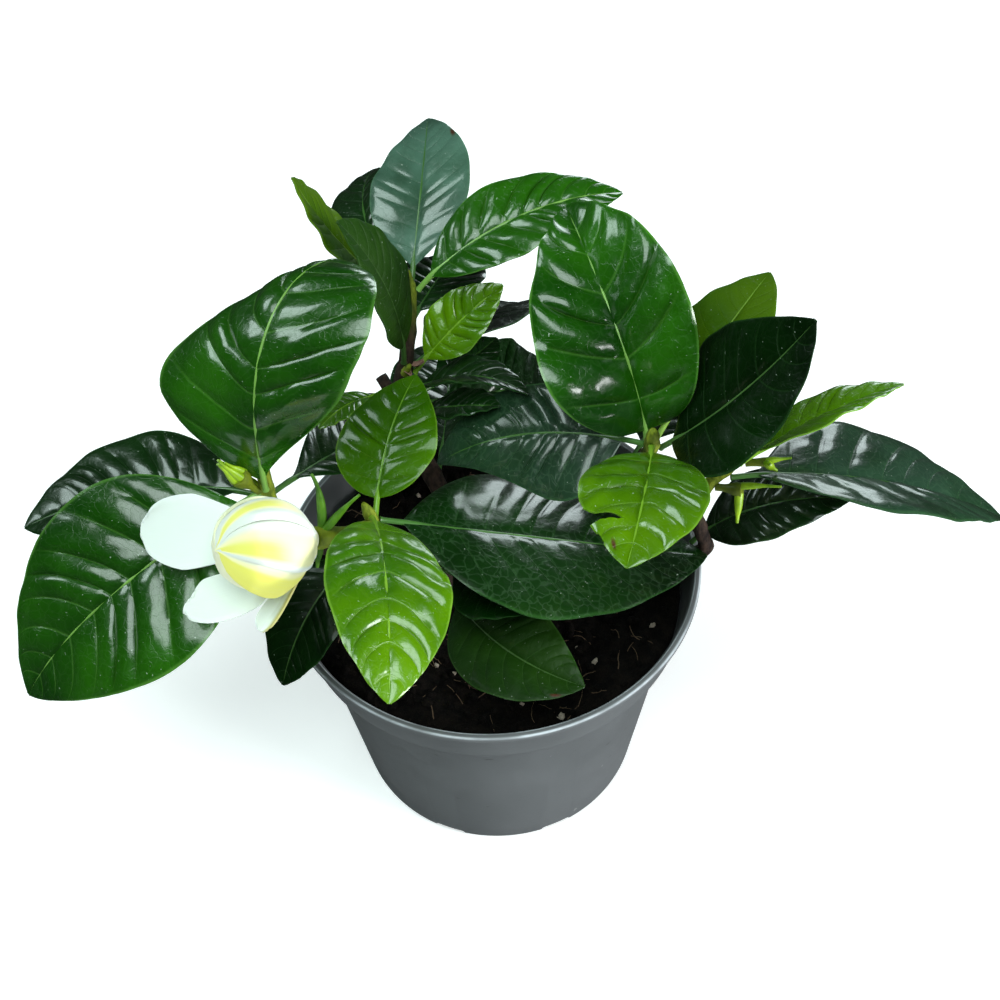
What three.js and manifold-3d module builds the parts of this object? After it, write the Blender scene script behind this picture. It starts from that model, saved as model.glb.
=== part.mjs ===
// Potted gardenia: a grey nursery pot, dark soil, woody stems, glossy leaves and one half-open flower.
// Millimetres and degrees, +Z up. The origin is the middle of the pot's underside.
// +X is right and +Y is away from the front. Azimuth 0 points along +X and 90 along +Y.
import * as THREE from 'three';
import { mergeVertices } from 'three/addons/utils/BufferGeometryUtils.js';
import Module from 'manifold-3d';

const wasm = await Module();
wasm.setup();

// Pot
const potHeight = 90.5;
const rimRadius = 65;
const rimInnerRadius = 62.9;
const lipHeight = 2.5;
const collarHeight = 16;
const collarTopRadius = 62.8;
const collarFootRadius = 60.9;
const shoulderHeight = 2.5;
const bodyTopRadius = 57;
const baseRadius = 46.1;
const wallThickness = 1.4;
const floorThickness = 1.6;
const footHeight = 2.5;
const channelCount = 8;
const channelWidth = 10;
const channelStart = 16;
const drainHoleRadius = 3.5;
const drainHoleDistance = 36;
const potSides = 48;

// Soil
const soilTop = 80;
const soilSides = 36;
const clearance = 0.3;
const clodHeight = 0.9;
const stemSink = 8;

// Stems: points from the soil up, with the radius at each end
const stemSides = 8;
const nodeSwell = 0.35;
const nodeSpacing = 13;
const nodeLength = 1.8;
const stems = {
  crown: {
    path: [[-6, 6, 72], [-10, 10, 95], [-19, 20, 118], [-25, 25, 138], [-22, 27, 153], [-20, 34, 168], [-20, 38, 179]],
    foot: 3.4,
    top: 1.8,
  },
  left: {
    path: [[-10, 9, 92], [-22, -4, 104], [-40, -17, 120], [-54, -24, 136], [-60, -21, 149], [-61, -19, 160]],
    foot: 2.8,
    top: 1.9,
  },
  centre: {
    path: [[-3, -10, 72], [-11, -14, 96], [-23, -20, 122], [-31, -24, 138], [-33, -25, 147]],
    foot: 3.2,
    top: 1.8,
  },
  right: {
    path: [[12, 9, 72], [24, 12, 96], [36, 9, 117], [43, -4, 138], [46, -13, 154], [46, -18, 166]],
    foot: 3.4,
    top: 1.9,
  },
  far: {
    path: [[18, 10, 84], [38, 3, 91], [57, -7, 98], [64, -12, 107], [62, -15, 120], [60, -17, 132], [63, -16, 142], [73, -11, 148]],
    foot: 2.7,
    top: 1.7,
  },
};
const budLength = 5;
const cutStub = { stem: 'crown', back: 47, azimuth: 125, pitch: 30, length: 9, radius: 1.8 };
const sideBud = { stem: 'crown', back: 21, azimuth: 200, pitch: 60, length: 6, radius: 1.3 };

// Leaves
const dark = 0x14380f;
const mid = 0x1f5a0c;
const lime = 0x4e8a08;
const stalkRadius = 0.9;
const bladeThickness = 0.8;
const edgeThickness = 0.6;
const veinSlant = 0.11;
const puffHeight = 1.1;
const foldRise = 0.05;

// Each leaf: the stem it grows on, how far back from the stem's tip, its size, its direction and its bend
const leaves = [
  { name: 'left_top', stem: 'left', back: 4, length: 90, width: 56, azimuth: 90, pitch: 95, droop: 146, bend: 1.59,
    roll: 16, sweep: -47, fold: -12, widest: 0.41, lean: -0.8, stalk: 4, color: mid },
  { name: 'left_low', stem: 'left', back: 7, length: 93, width: 56, azimuth: -148, pitch: -6, droop: 54,
    bend: 1.16, roll: 26, sweep: -16, fold: 4, widest: 0.42, stalk: 6, color: mid },
  { name: 'left_back', stem: 'left', back: 10, length: 77, width: 41, azimuth: 153, pitch: -8, droop: 15,
    roll: -2, sweep: 40, fold: 7, widest: 0.47, stalk: 8, color: dark },
  { name: 'left_inner', stem: 'left', back: 10, length: 62, width: 25, azimuth: 56, pitch: -17, droop: 15,
    roll: -12, sweep: -2, fold: 1, widest: 0.61, stalk: 6, color: dark },
  { name: 'small_lime', stem: 'crown', back: 41, length: 26, width: 12, azimuth: 200, pitch: 26, droop: 41,
    roll: -10, sweep: 31, fold: 8, widest: 0.52, stalk: 5, color: lime },
  { name: 'crown_tall', stem: 'crown', back: 6, length: 61, width: 32, azimuth: 81, pitch: 32, droop: 39,
    roll: 18, sweep: 6, fold: 4, widest: 0.45, stalk: 5, color: dark },
  { name: 'crown_right', stem: 'crown', back: 6, length: 68, width: 28, azimuth: 18, pitch: 46, droop: 65,
    roll: -5, sweep: 1, fold: 5, widest: 0.42, stalk: 5, color: mid },
  { name: 'crown_back', stem: 'crown', back: 6, length: 67, width: 27, azimuth: 122, pitch: 4, droop: 25,
    roll: 30, sweep: -46, fold: 5, widest: 0.51, stalk: 5, color: dark },
  { name: 'crown_left', stem: 'crown', back: 8, length: 50, width: 24, azimuth: 170, pitch: 44, droop: -27,
    roll: -16, sweep: 2, fold: 3, widest: 0.52, stalk: 5, color: lime },
  { name: 'crown_low', stem: 'crown', back: 16, length: 34, width: 30, azimuth: 66, pitch: 6, droop: 26,
    roll: 10, sweep: 0, fold: 4, widest: 0.48, taper: 0, stalk: 3, color: dark },
  { name: 'mid_up', stem: 'crown', back: 27, length: 59, width: 26, azimuth: 169, pitch: 94, droop: 34, bend: 0.86,
    roll: 15, sweep: 29, fold: 7, widest: 0.47, taper: 0, stalk: 6, color: dark },
  { name: 'mid_lime', stem: 'crown', back: 32, length: 37, width: 18, azimuth: 20, pitch: 51, droop: 24,
    roll: -25, sweep: 3, fold: 11, widest: 0.44, stalk: 5, color: lime },
  { name: 'curved_dark', stem: 'crown', back: 40, length: 42, width: 17, azimuth: -9, pitch: 44, droop: 56, bend: 1.26,
    roll: 16, sweep: -27, fold: 14, widest: 0.4, stalk: 5, color: dark },
  { name: 'short_dark', stem: 'crown', back: 48, length: 35, width: 15, azimuth: -26, pitch: 35, droop: 11,
    roll: 5, sweep: -6, fold: 8, widest: 0.47, stalk: 5, color: dark },
  { name: 'back_glossy', stem: 'crown', back: 48, length: 65, width: 34, azimuth: 22, pitch: -7, droop: 42,
    roll: -23, sweep: 23, fold: 11, widest: 0.56, stalk: 9, color: dark },
  { name: 'back_tip', stem: 'crown', back: 33, length: 72, width: 36, azimuth: 52, pitch: -6, droop: 35,
    roll: 18, sweep: 10, fold: 7, widest: 0.53, stalk: 8, color: dark },
  { name: 'spike_dark', stem: 'crown', back: 45, length: 38, width: 16, azimuth: 32, pitch: 6, droop: 18,
    roll: -5, sweep: 24, fold: 3, widest: 0.49, stalk: 9, color: dark },
  { name: 'shadow_left', stem: 'crown', back: 58, length: 63, width: 35, azimuth: 137, pitch: -15, droop: 38,
    roll: -12, sweep: -9, fold: 7, widest: 0.52, stalk: 8, color: dark },
  { name: 'right_top', stem: 'right', back: 13, length: 77, width: 48, azimuth: 120, pitch: 83, droop: 89,
    bend: 0.8, roll: 22, sweep: -18, fold: 24, taper: 0, widest: 0.39, lean: -0.15, stalk: 4, color: mid },
  { name: 'right_dark', stem: 'right', back: 10, length: 66, width: 41, azimuth: -31, pitch: 52, droop: -6, bend: 0.8,
    roll: -21, sweep: 40, fold: 6, widest: 0.4, stalk: 5, color: dark },
  { name: 'right_back', stem: 'right', back: 10, length: 58, width: 32, azimuth: 46, pitch: 42, droop: 32,
    roll: 21, sweep: 4, fold: 6, widest: 0.51, stalk: 6, color: mid },
  { name: 'right_bitten', stem: 'right', back: 2, length: 56, width: 34, azimuth: -97, pitch: 34, droop: 40, bend: 1.12,
    roll: 0, sweep: -10, fold: 6, taper: 0, widest: 0.51, stalk: 5, color: lime, bite: { along: 0.7, side: 1, radius: 4.5 } },
  { name: 'right_inner', stem: 'right', back: 9, length: 67, width: 34, azimuth: 151, pitch: -10, droop: 34, bend: 1.69,
    roll: 27, sweep: 25, fold: -8, widest: 0.34, lean: -0.4, stalk: 6, color: dark },
  { name: 'far_lime', stem: 'far', back: 2, length: 50, width: 24, azimuth: 20, pitch: 28, droop: 18,
    roll: 32, sweep: -10, fold: 9, widest: 0.48, stalk: 5, color: lime },
  { name: 'far_long', stem: 'far', back: 6, length: 89, width: 51, azimuth: 6, pitch: 0, droop: 36, bend: 0.8,
    roll: 19, sweep: -5, fold: 9, widest: 0.43, stalk: 7, color: dark },
  { name: 'far_low', stem: 'far', back: 56, length: 55, width: 25, azimuth: -4, pitch: 61, droop: 53, bend: 0.81,
    roll: -11, sweep: -12, fold: 5, widest: 0.44, taper: 0.15, stalk: 7, color: dark },
  { name: 'centre_lime', stem: 'centre', back: 6, length: 46, width: 30, azimuth: 84, pitch: 28, droop: 25, bend: 0.93,
    roll: 9, sweep: -20, fold: 1, taper: 0, widest: 0.4, stalk: 5, color: lime },
  { name: 'centre_bright', stem: 'centre', back: 0, length: 73, width: 34, azimuth: -77, pitch: 44, droop: 69, bend: 0.92,
    roll: 20, sweep: -16, fold: 5, taper: 0, widest: 0.53, stalk: 5, color: lime },
  { name: 'centre_long', stem: 'centre', back: 5, length: 99, width: 60, azimuth: 5, pitch: -20, droop: -2,
    roll: 8, sweep: -1, fold: -6, widest: 0.42, stalk: 6, color: dark },
  { name: 'left_down', stem: 'centre', back: 13, length: 51, width: 25, azimuth: -145, pitch: -1, droop: 59,
    roll: -7, sweep: 27, fold: 5, widest: 0.49, stalk: 7, color: dark },
  { name: 'on_soil', stem: 'centre', back: 49, length: 59, width: 30, azimuth: -71, pitch: 8, droop: 3,
    roll: -15, sweep: 45, fold: 9, widest: 0.47, stalk: 8, color: dark },
  { name: 'under_centre', stem: 'centre', back: 36, length: 40, width: 25, azimuth: -36, pitch: 14, droop: -2,
    roll: -2, sweep: -15, fold: 7, widest: 0.53, stalk: 8, color: dark },
  { name: 'hidden_back', stem: 'crown', back: 74, length: 74, width: 38, azimuth: 82, pitch: 4, droop: 30,
    roll: 0, sweep: 10, fold: 7, widest: 0.5, stalk: 8, color: dark },
  { name: 'hidden_right', stem: 'right', back: 42, length: 68, width: 36, azimuth: 62, pitch: -4, droop: 26,
    roll: 0, sweep: 8, fold: 7, widest: 0.5, stalk: 8, color: dark },
];
const leafColumns = 4;
const veinPairs = 5;

// Flower: where its throat opens, the way it faces and the size of its wound centre
const bloomCentre = new THREE.Vector3(-48, -45, 161);
const bloomAxis = new THREE.Vector3(-0.8, -0.42, 0.42).normalize();
const throatLength = 2.5;
const throatRadius = 4.1;
const throatFootRadius = 2.4;
const calyxLength = 6;
const calyxRadius = 3;
const flowerStalkRadius = 1.4;
const sepalRadius = 0.9;
const bloomSepals = [
  { angle: 100, length: 19, out: 0.95, along: 0.42 },
  { angle: 82, length: 15, out: 0.95, along: -0.35 },
  { angle: 285, length: 8, out: 0.9, along: -0.1 },
];
const petalFullness = 0.27;
const petalThickness = 0.8;
const petalFoot = 1.2; // half the width at a petal's foot
const petalTip = 0.11; // half the width of the blunt tip, as a share of the petal's width
const white = 0xf4f6ee;
const cream = 0xf6f1b8;
const petals = [
  { name: 'petal_broad', length: 45.5, width: 22, azimuth: 162, pitch: -17, droop: -30, roll: 23, sweep: 18, fold: 0,
    widest: 0.66, claw: 0.75, cup: 0.1 },
  { name: 'petal_lower', length: 37, width: 15, azimuth: 207, pitch: -31, droop: -38, roll: 4, sweep: -19, fold: 2,
    widest: 0.72, claw: 0.5, cup: 0.1 },
  { name: 'petal_folded', length: 24, width: 8.5, azimuth: 230, pitch: -31, droop: -14, roll: 0, sweep: 3, fold: 26,
    widest: 0.6, claw: 0.95, cup: 0.1 },
];

// The wound centre: its radius at shares of its height, and how its petals overlap
const woundProfile = [[0, 4], [0.08, 7], [0.2, 10], [0.4, 11.9], [0.6, 11.5], [0.8, 8.8], [1, 4.4]];
const wrapCount = 6;
const wrapStart = 48;
const wrapSpan = -112;
const wrapGrowth = 3.4;
const wrapHeight = 25;
const wrapTwist = 30;
const heartHeight = 22;
const heartScale = 0.66;

// Green calyxes and a young bud on the shoots: where each stands, and its sepals
const calyxes = [
  { name: 'calyx_spent', stem: 'left', back: 6, azimuth: 205, pitch: 62, length: 10, radius: 2.7,
    sepals: [20, 95, 165, 235, 310].map((angle, i) => ({ angle, length: i % 2 ? 8 : 10, out: -0.12, along: 1 })) },
  { name: 'calyx_far', stem: 'far', back: 12, azimuth: -22, pitch: 12, length: 7, radius: 1.9, sepals: [
    { angle: 60, length: 12, out: 0.1, along: 1 },
    { angle: 230, length: 9, out: 0.95, along: 0 },
  ] },
  { name: 'bud_far', stem: 'far', back: 1, azimuth: -10, pitch: 12, length: 6, radius: 1.3, sepals: [
    { angle: 90, length: 7, out: 0.1, along: 1 },
    { angle: 150, length: 3, out: 0.9, along: 0.5 },
    { angle: 270, length: 4, out: 0.9, along: 0.6 },
  ] },
];

// Small helpers
const rad = THREE.MathUtils.degToRad;
const up = new THREE.Vector3(0, 0, 1);
const clamp01 = (value) => THREE.MathUtils.clamp(value, 0, 1);
const direction = (azimuth, pitch) => new THREE.Vector3(
  Math.cos(rad(pitch)) * Math.cos(rad(azimuth)),
  Math.cos(rad(pitch)) * Math.sin(rad(azimuth)),
  Math.sin(rad(pitch)),
);

// The signed volume of an indexed geometry, used to turn its faces outwards
function signedVolume(geometry) {
  const position = geometry.getAttribute('position');
  const index = geometry.index.array;
  const corner = [new THREE.Vector3(), new THREE.Vector3(), new THREE.Vector3()];
  let volume = 0;
  for (let i = 0; i < index.length; i += 3) {
    corner.forEach((point, c) => point.fromBufferAttribute(position, index[i + c]));
    volume += corner[0].dot(corner[1].cross(corner[2])) / 6;
  }
  return volume;
}

// A closed geometry from shared points and triangles, with its faces turned outwards
function closedGeometry(points, triangles) {
  const geometry = new THREE.BufferGeometry();
  geometry.setAttribute('position', new THREE.Float32BufferAttribute(points.flatMap((p) => p.toArray()), 3));
  geometry.setIndex(triangles.flat());
  if (signedVolume(geometry) < 0) geometry.setIndex(triangles.map(([a, b, c]) => [a, c, b]).flat());
  return geometry;
}

// A geometry as a solid that can be joined and cut, and back again
function toSolid(geometry) {
  const bare = geometry.clone();
  bare.deleteAttribute('normal');
  bare.deleteAttribute('uv');
  const merged = mergeVertices(bare, 1e-4);
  const mesh = new wasm.Mesh({
    numProp: 3,
    vertProperties: new Float32Array(merged.attributes.position.array),
    triVerts: new Uint32Array(merged.index.array),
  });
  return new wasm.Manifold(mesh);
}

function toGeometry(solid) {
  const mesh = solid.getMesh();
  const geometry = new THREE.BufferGeometry();
  geometry.setAttribute('position', new THREE.Float32BufferAttribute(mesh.vertProperties, 3));
  geometry.setIndex(new THREE.Uint32BufferAttribute(mesh.triVerts, 1));
  return geometry;
}

// A closed skin through rings that have the same number of points
function loft(rings) {
  const count = rings[0].length;
  const points = rings.flat();
  const triangles = [];
  for (let r = 0; r + 1 < rings.length; r += 1) {
    for (let i = 0; i < count; i += 1) {
      const a = r * count + i;
      const b = r * count + ((i + 1) % count);
      triangles.push([a, b, b + count], [a, b + count, a + count]);
    }
  }
  for (const ring of [0, rings.length - 1]) {
    const middle = rings[ring].reduce((sum, p) => sum.add(p), new THREE.Vector3()).divideScalar(count);
    points.push(middle);
    for (let i = 0; i < count; i += 1) {
      const a = ring * count + i;
      const b = ring * count + ((i + 1) % count);
      triangles.push(ring === 0 ? [b, a, points.length - 1] : [a, b, points.length - 1]);
    }
  }
  return closedGeometry(points, triangles);
}

// A round bar along a curve, whose radius follows the distance along it
function bar(curve, steps, sides, radiusAt) {
  const rings = [];
  let side = new THREE.Vector3(1, 0.3, 0.1);
  for (let k = 0; k <= steps; k += 1) {
    const t = k / steps;
    const centre = curve.getPointAt(t);
    const tangent = curve.getTangentAt(t);
    side = side.clone().addScaledVector(tangent, -side.dot(tangent)).normalize();
    const other = new THREE.Vector3().crossVectors(tangent, side);
    const ring = [];
    for (let i = 0; i < sides; i += 1) {
      const angle = (i / sides) * 2 * Math.PI;
      const radius = radiusAt(t * curve.getLength(), t);
      ring.push(centre.clone()
        .addScaledVector(side, radius * Math.cos(angle))
        .addScaledVector(other, radius * Math.sin(angle)));
    }
    rings.push(ring);
  }
  return loft(rings);
}

const straight = (from, way, length) => new THREE.LineCurve3(from, from.clone().addScaledVector(way, length));

// Stems
for (const stem of Object.values(stems)) {
  stem.curve = new THREE.CatmullRomCurve3(stem.path.map((p) => new THREE.Vector3(...p)), false, 'centripetal');
  stem.length = stem.curve.getLength();
}

function stemRadius(stem, distance) {
  const taper = stem.foot + (stem.top - stem.foot) * (distance / stem.length);
  const toNode = ((stem.length - distance) % nodeSpacing) - nodeSpacing / 2;
  return taper + nodeSwell * Math.exp(-((toNode / nodeLength) ** 2));
}

// The point, axis and radius of a stem, a given distance back from its tip
function stemPlace(name, back) {
  const stem = stems[name];
  const t = clamp01((stem.length - back) / stem.length);
  return {
    point: stem.curve.getPointAt(t),
    axis: stem.curve.getTangentAt(t),
    radius: stemRadius(stem, t * stem.length),
  };
}

// A root that stands just clear of what it grows on, on the side that it leaves by
function seat(place, way, rootRadius) {
  const along = way.dot(place.axis);
  const out = way.clone().addScaledVector(place.axis, -along).normalize();
  return place.point.clone().addScaledVector(out, place.radius + clearance + rootRadius * Math.abs(along));
}

function stemSolid(name) {
  const stem = stems[name];
  const steps = Math.round(stem.length / 6);
  const body = toSolid(bar(stem.curve, steps, stemSides, (distance) => stemRadius(stem, distance)));
  const tip = stem.curve.getPointAt(1);
  const way = stem.curve.getTangentAt(1);
  const bud = bar(straight(tip.clone().addScaledVector(way, -1), way, budLength + 1), 3, stemSides,
    (distance, t) => stem.top * 0.95 * Math.sqrt(1.02 - t));
  return body.add(toSolid(bud));
}

function twig({ stem, back, azimuth, pitch, length, radius }, tipShare) {
  const place = stemPlace(stem, back);
  return toSolid(bar(straight(place.point, direction(azimuth, pitch), length + place.radius), 3, 7,
    (distance, t) => radius * (1 + (tipShare - 1) * t ** 2)));
}

const stemParts = {
  stem_crown: () => stemSolid('crown').add(stemSolid('left')).add(twig(cutStub, 1)).add(twig(sideBud, 0.25)),
  stem_centre: () => stemSolid('centre'),
  stem_right: () => stemSolid('right').add(stemSolid('far')),
};

// Blades
function spineOf(shape, place, rootRadius) {
  const steps = 60;
  const bend = shape.bend ?? 1;
  const heading = (u) => direction(shape.azimuth + (shape.sweep ?? 0) * u, shape.pitch - shape.droop * u ** bend);
  const points = [seat(place, heading(0), rootRadius)];
  for (let i = 1; i <= steps; i += 1) {
    const step = heading((i - 0.5) / steps).multiplyScalar(shape.length / steps);
    points.push(points[i - 1].clone().add(step));
  }
  return (u) => {
    const at = clamp01(u) * steps;
    const i = Math.min(Math.floor(at), steps - 1);
    const azimuth = rad(shape.azimuth + (shape.sweep ?? 0) * u);
    const tangent = heading(u);
    const level = new THREE.Vector3(Math.sin(azimuth), -Math.cos(azimuth), 0);
    const above = new THREE.Vector3().crossVectors(level, tangent);
    const roll = rad(shape.roll) * clamp01(u / 0.12);
    const side = level.clone().multiplyScalar(Math.cos(roll)).addScaledVector(above, Math.sin(roll));
    return {
      point: points[i].clone().lerp(points[i + 1], at - i),
      side,
      normal: new THREE.Vector3().crossVectors(side, tangent),
    };
  };
}

// A closed thin blade from a grid: place gives the top and bottom point of each row and column
function blade(rows, columns, place) {
  const points = [];
  for (let r = 0; r < rows; r += 1) {
    for (let c = 0; c < columns; c += 1) points.push(...place(r, c));
  }
  const top = (r, c) => 2 * (r * columns + c);
  const bottom = (r, c) => top(r, c) + 1;
  const triangles = [];
  const quad = (a, b, c, d) => triangles.push([a, b, c], [a, c, d]);
  for (let r = 0; r + 1 < rows; r += 1) {
    for (let c = 0; c + 1 < columns; c += 1) {
      if (c < (columns - 1) / 2) {
        quad(top(r, c + 1), top(r + 1, c + 1), top(r + 1, c), top(r, c));
        quad(bottom(r + 1, c), bottom(r + 1, c + 1), bottom(r, c + 1), bottom(r, c));
      } else {
        quad(top(r, c), top(r, c + 1), top(r + 1, c + 1), top(r + 1, c));
        quad(bottom(r, c), bottom(r + 1, c), bottom(r + 1, c + 1), bottom(r, c + 1));
      }
    }
    quad(bottom(r, 0), top(r, 0), top(r + 1, 0), bottom(r + 1, 0));
    const last = columns - 1;
    quad(top(r, last), bottom(r, last), bottom(r + 1, last), top(r + 1, last));
  }
  for (let c = 0; c + 1 < columns; c += 1) {
    quad(top(0, c), bottom(0, c), bottom(0, c + 1), top(0, c + 1));
    quad(bottom(rows - 1, c), top(rows - 1, c), top(rows - 1, c + 1), bottom(rows - 1, c + 1));
  }
  return closedGeometry(points, triangles);
}

// Half the width of a leaf at a share of its blade: narrow at the stalk, widest where the leaf says
function halfWidth(leaf, share) {
  const power = Math.log(0.5) / Math.log(leaf.widest);
  const fullness = 0.78 + (leaf.taper ?? 0.35) * (1 - share) ** 3;
  return (leaf.width / 2) * Math.sin(Math.PI * clamp01(share) ** power) ** fullness;
}

function leafGeometry(leaf) {
  const spine = spineOf(leaf, stemPlace(leaf.stem, leaf.back), stalkRadius);
  const stalkShare = leaf.stalk / leaf.length;
  const veinRows = Array.from({ length: 2 * veinPairs }, (_, k) => (k + 0.7) / (2 * veinPairs + 0.4));
  const shares = [null, null, ...veinRows, 1];
  return blade(shares.length, leafColumns + 1, (row, column) => {
    const across = (2 * column) / leafColumns - 1;
    const share = shares[row];
    if (share === null) {
      const frame = spine(row === 0 ? 0 : stalkShare * 0.8);
      const centre = frame.point.addScaledVector(frame.side, stalkRadius * across);
      const half = stalkRadius * Math.sqrt(1.15 - across * across);
      return [centre.clone().addScaledVector(frame.normal, half), centre.clone().addScaledVector(frame.normal, -half)];
    }
    const slant = veinSlant * Math.abs(across) * Math.sin(Math.PI * share);
    const frame = spine(stalkShare + (1 - stalkShare) * (share + slant));
    const half = Math.max(halfWidth(leaf, share + slant), stalkRadius * 0.6);
    const fold = rad(leaf.fold);
    const open = half / (leaf.width / 2);
    const inner = Math.abs(Math.abs(across) - 0.5) < 0.1 ? 1 : 0;
    const puff = (row % 2 === 0 ? puffHeight : 0) * open * inner + foldRise * half * inner;
    const rise = half * Math.abs(across) * Math.sin(fold) + puff;
    const lopsided = 1 + (leaf.lean ?? 0) * (1 - 2 * share) * Math.sign(across);
    const centre = frame.point
      .addScaledVector(frame.side, half * across * lopsided * Math.cos(fold))
      .addScaledVector(frame.normal, rise);
    const thick = (Math.abs(across) > 0.9 ? edgeThickness : bladeThickness) / 2;
    return [centre.clone().addScaledVector(frame.normal, thick), centre.clone().addScaledVector(frame.normal, -thick)];
  });
}

// An insect's bite out of the leaf's edge
function bittenGeometry(leaf) {
  const spine = spineOf(leaf, stemPlace(leaf.stem, leaf.back), stalkRadius);
  const stalkShare = leaf.stalk / leaf.length;
  const frame = spine(stalkShare + (1 - stalkShare) * leaf.bite.along);
  const edge = frame.point.addScaledVector(frame.side, leaf.bite.side * halfWidth(leaf, leaf.bite.along));
  const cutter = bar(straight(edge.addScaledVector(frame.normal, -10), frame.normal, 20), 1, 9, () => leaf.bite.radius);
  return toGeometry(toSolid(leafGeometry(leaf)).subtract(toSolid(cutter)));
}

// Flower
const throatPlace = (back) => ({
  point: bloomCentre.clone().addScaledVector(bloomAxis, -back),
  axis: bloomAxis,
  radius: throatRadius,
});

function petalGeometry(petal) {
  const rows = 9;
  const columns = 7;
  const spine = spineOf(petal, throatPlace(1.6), petalThickness);
  return blade(rows, columns, (row, column) => {
    const share = Math.sin((Math.PI / 2) * (row / (rows - 1)));
    const across = (2 * column) / (columns - 1) - 1;
    const round = Math.sin(Math.PI * share ** (Math.log(0.5) / Math.log(petal.widest))) ** petalFullness;
    const least = share < 1 ? petalFoot : petalTip * petal.width;
    const half = Math.max((petal.width / 2) * round * clamp01((share + 0.1) / (petal.claw + 0.1)), least);
    const tipDip = (share > 0.9 && share < 1 ? 0.06 : 0) * across * across;
    const frame = spine(share - tipDip);
    const fold = rad(petal.fold);
    const centre = frame.point
      .addScaledVector(frame.side, half * across * Math.cos(fold))
      .addScaledVector(frame.normal, half * (Math.abs(across) * Math.sin(fold) + petal.cup * across * across));
    return [petalThickness / 2, -petalThickness / 2].map((t) => centre.clone().addScaledVector(frame.normal, t));
  });
}

// The bloom's own frame: two directions square to its axis
const bloomSide = new THREE.Vector3().crossVectors(up, bloomAxis).normalize();
const bloomTop = new THREE.Vector3().crossVectors(bloomAxis, bloomSide);
const bloomPoint = (radius, angle, along) => bloomCentre.clone()
  .addScaledVector(bloomSide, radius * Math.cos(rad(angle)))
  .addScaledVector(bloomTop, radius * Math.sin(rad(angle)))
  .addScaledVector(bloomAxis, along);

function woundRadius(t) {
  const next = Math.max(woundProfile.findIndex(([at]) => at >= t), 1);
  const [t0, r0] = woundProfile[next - 1];
  const [t1, r1] = woundProfile[next];
  return r0 + ((r1 - r0) * (t - t0)) / (t1 - t0);
}

// A wound petal: a curved sheet round the axis, whose far edge lies over the next one's near edge
function wrapGeometry(turn) {
  const rows = 8;
  const columns = 6;
  const tipShare = 0.92 + 0.08 * Math.cos(2.4 * turn);
  return blade(rows, columns, (row, column) => {
    const f = column / (columns - 1);
    const height = tipShare * (row / (rows - 1)) * (0.84 + 0.16 * Math.sin(Math.PI * f));
    const angle = wrapStart + (360 * turn) / wrapCount + wrapSpan * f + wrapTwist * height;
    const growth = wrapGrowth * (f - 0.5) * (0.75 + 0.25 * Math.sin(Math.PI * height));
    const radius = woundRadius(height) + growth;
    const along = clearance + height * wrapHeight;
    return [radius + petalThickness / 2, radius - petalThickness / 2].map((r) => bloomPoint(r, angle, along));
  });
}

function heartGeometry() {
  const rings = [];
  const steps = 7;
  const sides = 12;
  for (let k = 0; k <= steps; k += 1) {
    const t = k / steps;
    const ring = [];
    for (let i = 0; i < sides; i += 1) {
      const angle = (360 * i) / sides;
      const lobe = 1 - 0.16 * (((angle - 60 * t + 720) % 120) / 120);
      const radius = Math.max((woundRadius(t) * heartScale - 1) * lobe * (1 - 0.35 * t), 0.8);
      ring.push(bloomPoint(radius, angle, clearance + t * heartHeight));
    }
    rings.push(ring);
  }
  return loft(rings);
}

function throatGeometry() {
  const curve = straight(throatPlace(throatLength).point, bloomAxis, throatLength);
  return bar(curve, 5, 12, (distance, t) => throatFootRadius + (throatRadius - throatFootRadius) * clamp01(t / 0.7));
}

// A green calyx: a swollen end on a stalk, with pointed sepals round its mouth
function calyxSolid(curve, stalkStart, mouthRadius, sepals) {
  const body = toSolid(bar(curve, 8, 10, (distance, t) => stalkStart + (mouthRadius - stalkStart) * clamp01((t - 0.3) / 0.5)));
  const mouth = curve.getPointAt(0.9);
  const axis = curve.getTangentAt(1);
  const side = new THREE.Vector3().crossVectors(up, axis).normalize();
  const top = new THREE.Vector3().crossVectors(axis, side);
  return sepals.reduce((solid, sepal) => {
    const out = side.clone().multiplyScalar(Math.cos(rad(sepal.angle))).addScaledVector(top, Math.sin(rad(sepal.angle)));
    const start = mouth.clone().addScaledVector(out, mouthRadius - sepalRadius);
    const curl = new THREE.QuadraticBezierCurve3(start,
      start.clone().addScaledVector(out, sepal.length * sepal.out * 0.7).addScaledVector(axis, sepal.length * sepal.along * 0.4),
      start.clone().addScaledVector(out, sepal.length * sepal.out).addScaledVector(axis, sepal.length * sepal.along));
    return solid.add(toSolid(bar(curl, 4, 5, (distance, t) => sepalRadius * (1.02 - t * 0.7))));
  }, body);
}

function bloomCalyxGeometry() {
  const end = throatPlace(throatLength + clearance).point;
  const place = stemPlace('centre', 3);
  const way = end.clone().sub(place.point).normalize();
  const start = seat(place, way, flowerStalkRadius);
  const middle = end.clone().addScaledVector(bloomAxis, -calyxLength);
  const curve = new THREE.QuadraticBezierCurve3(start, middle, end);
  return toGeometry(calyxSolid(curve, flowerStalkRadius, calyxRadius, bloomSepals));
}

function sideCalyxGeometry(calyx) {
  const way = direction(calyx.azimuth, calyx.pitch);
  const start = seat(stemPlace(calyx.stem, calyx.back), way, stalkRadius);
  return toGeometry(calyxSolid(straight(start, way, calyx.length), stalkRadius, calyx.radius, calyx.sepals));
}

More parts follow.
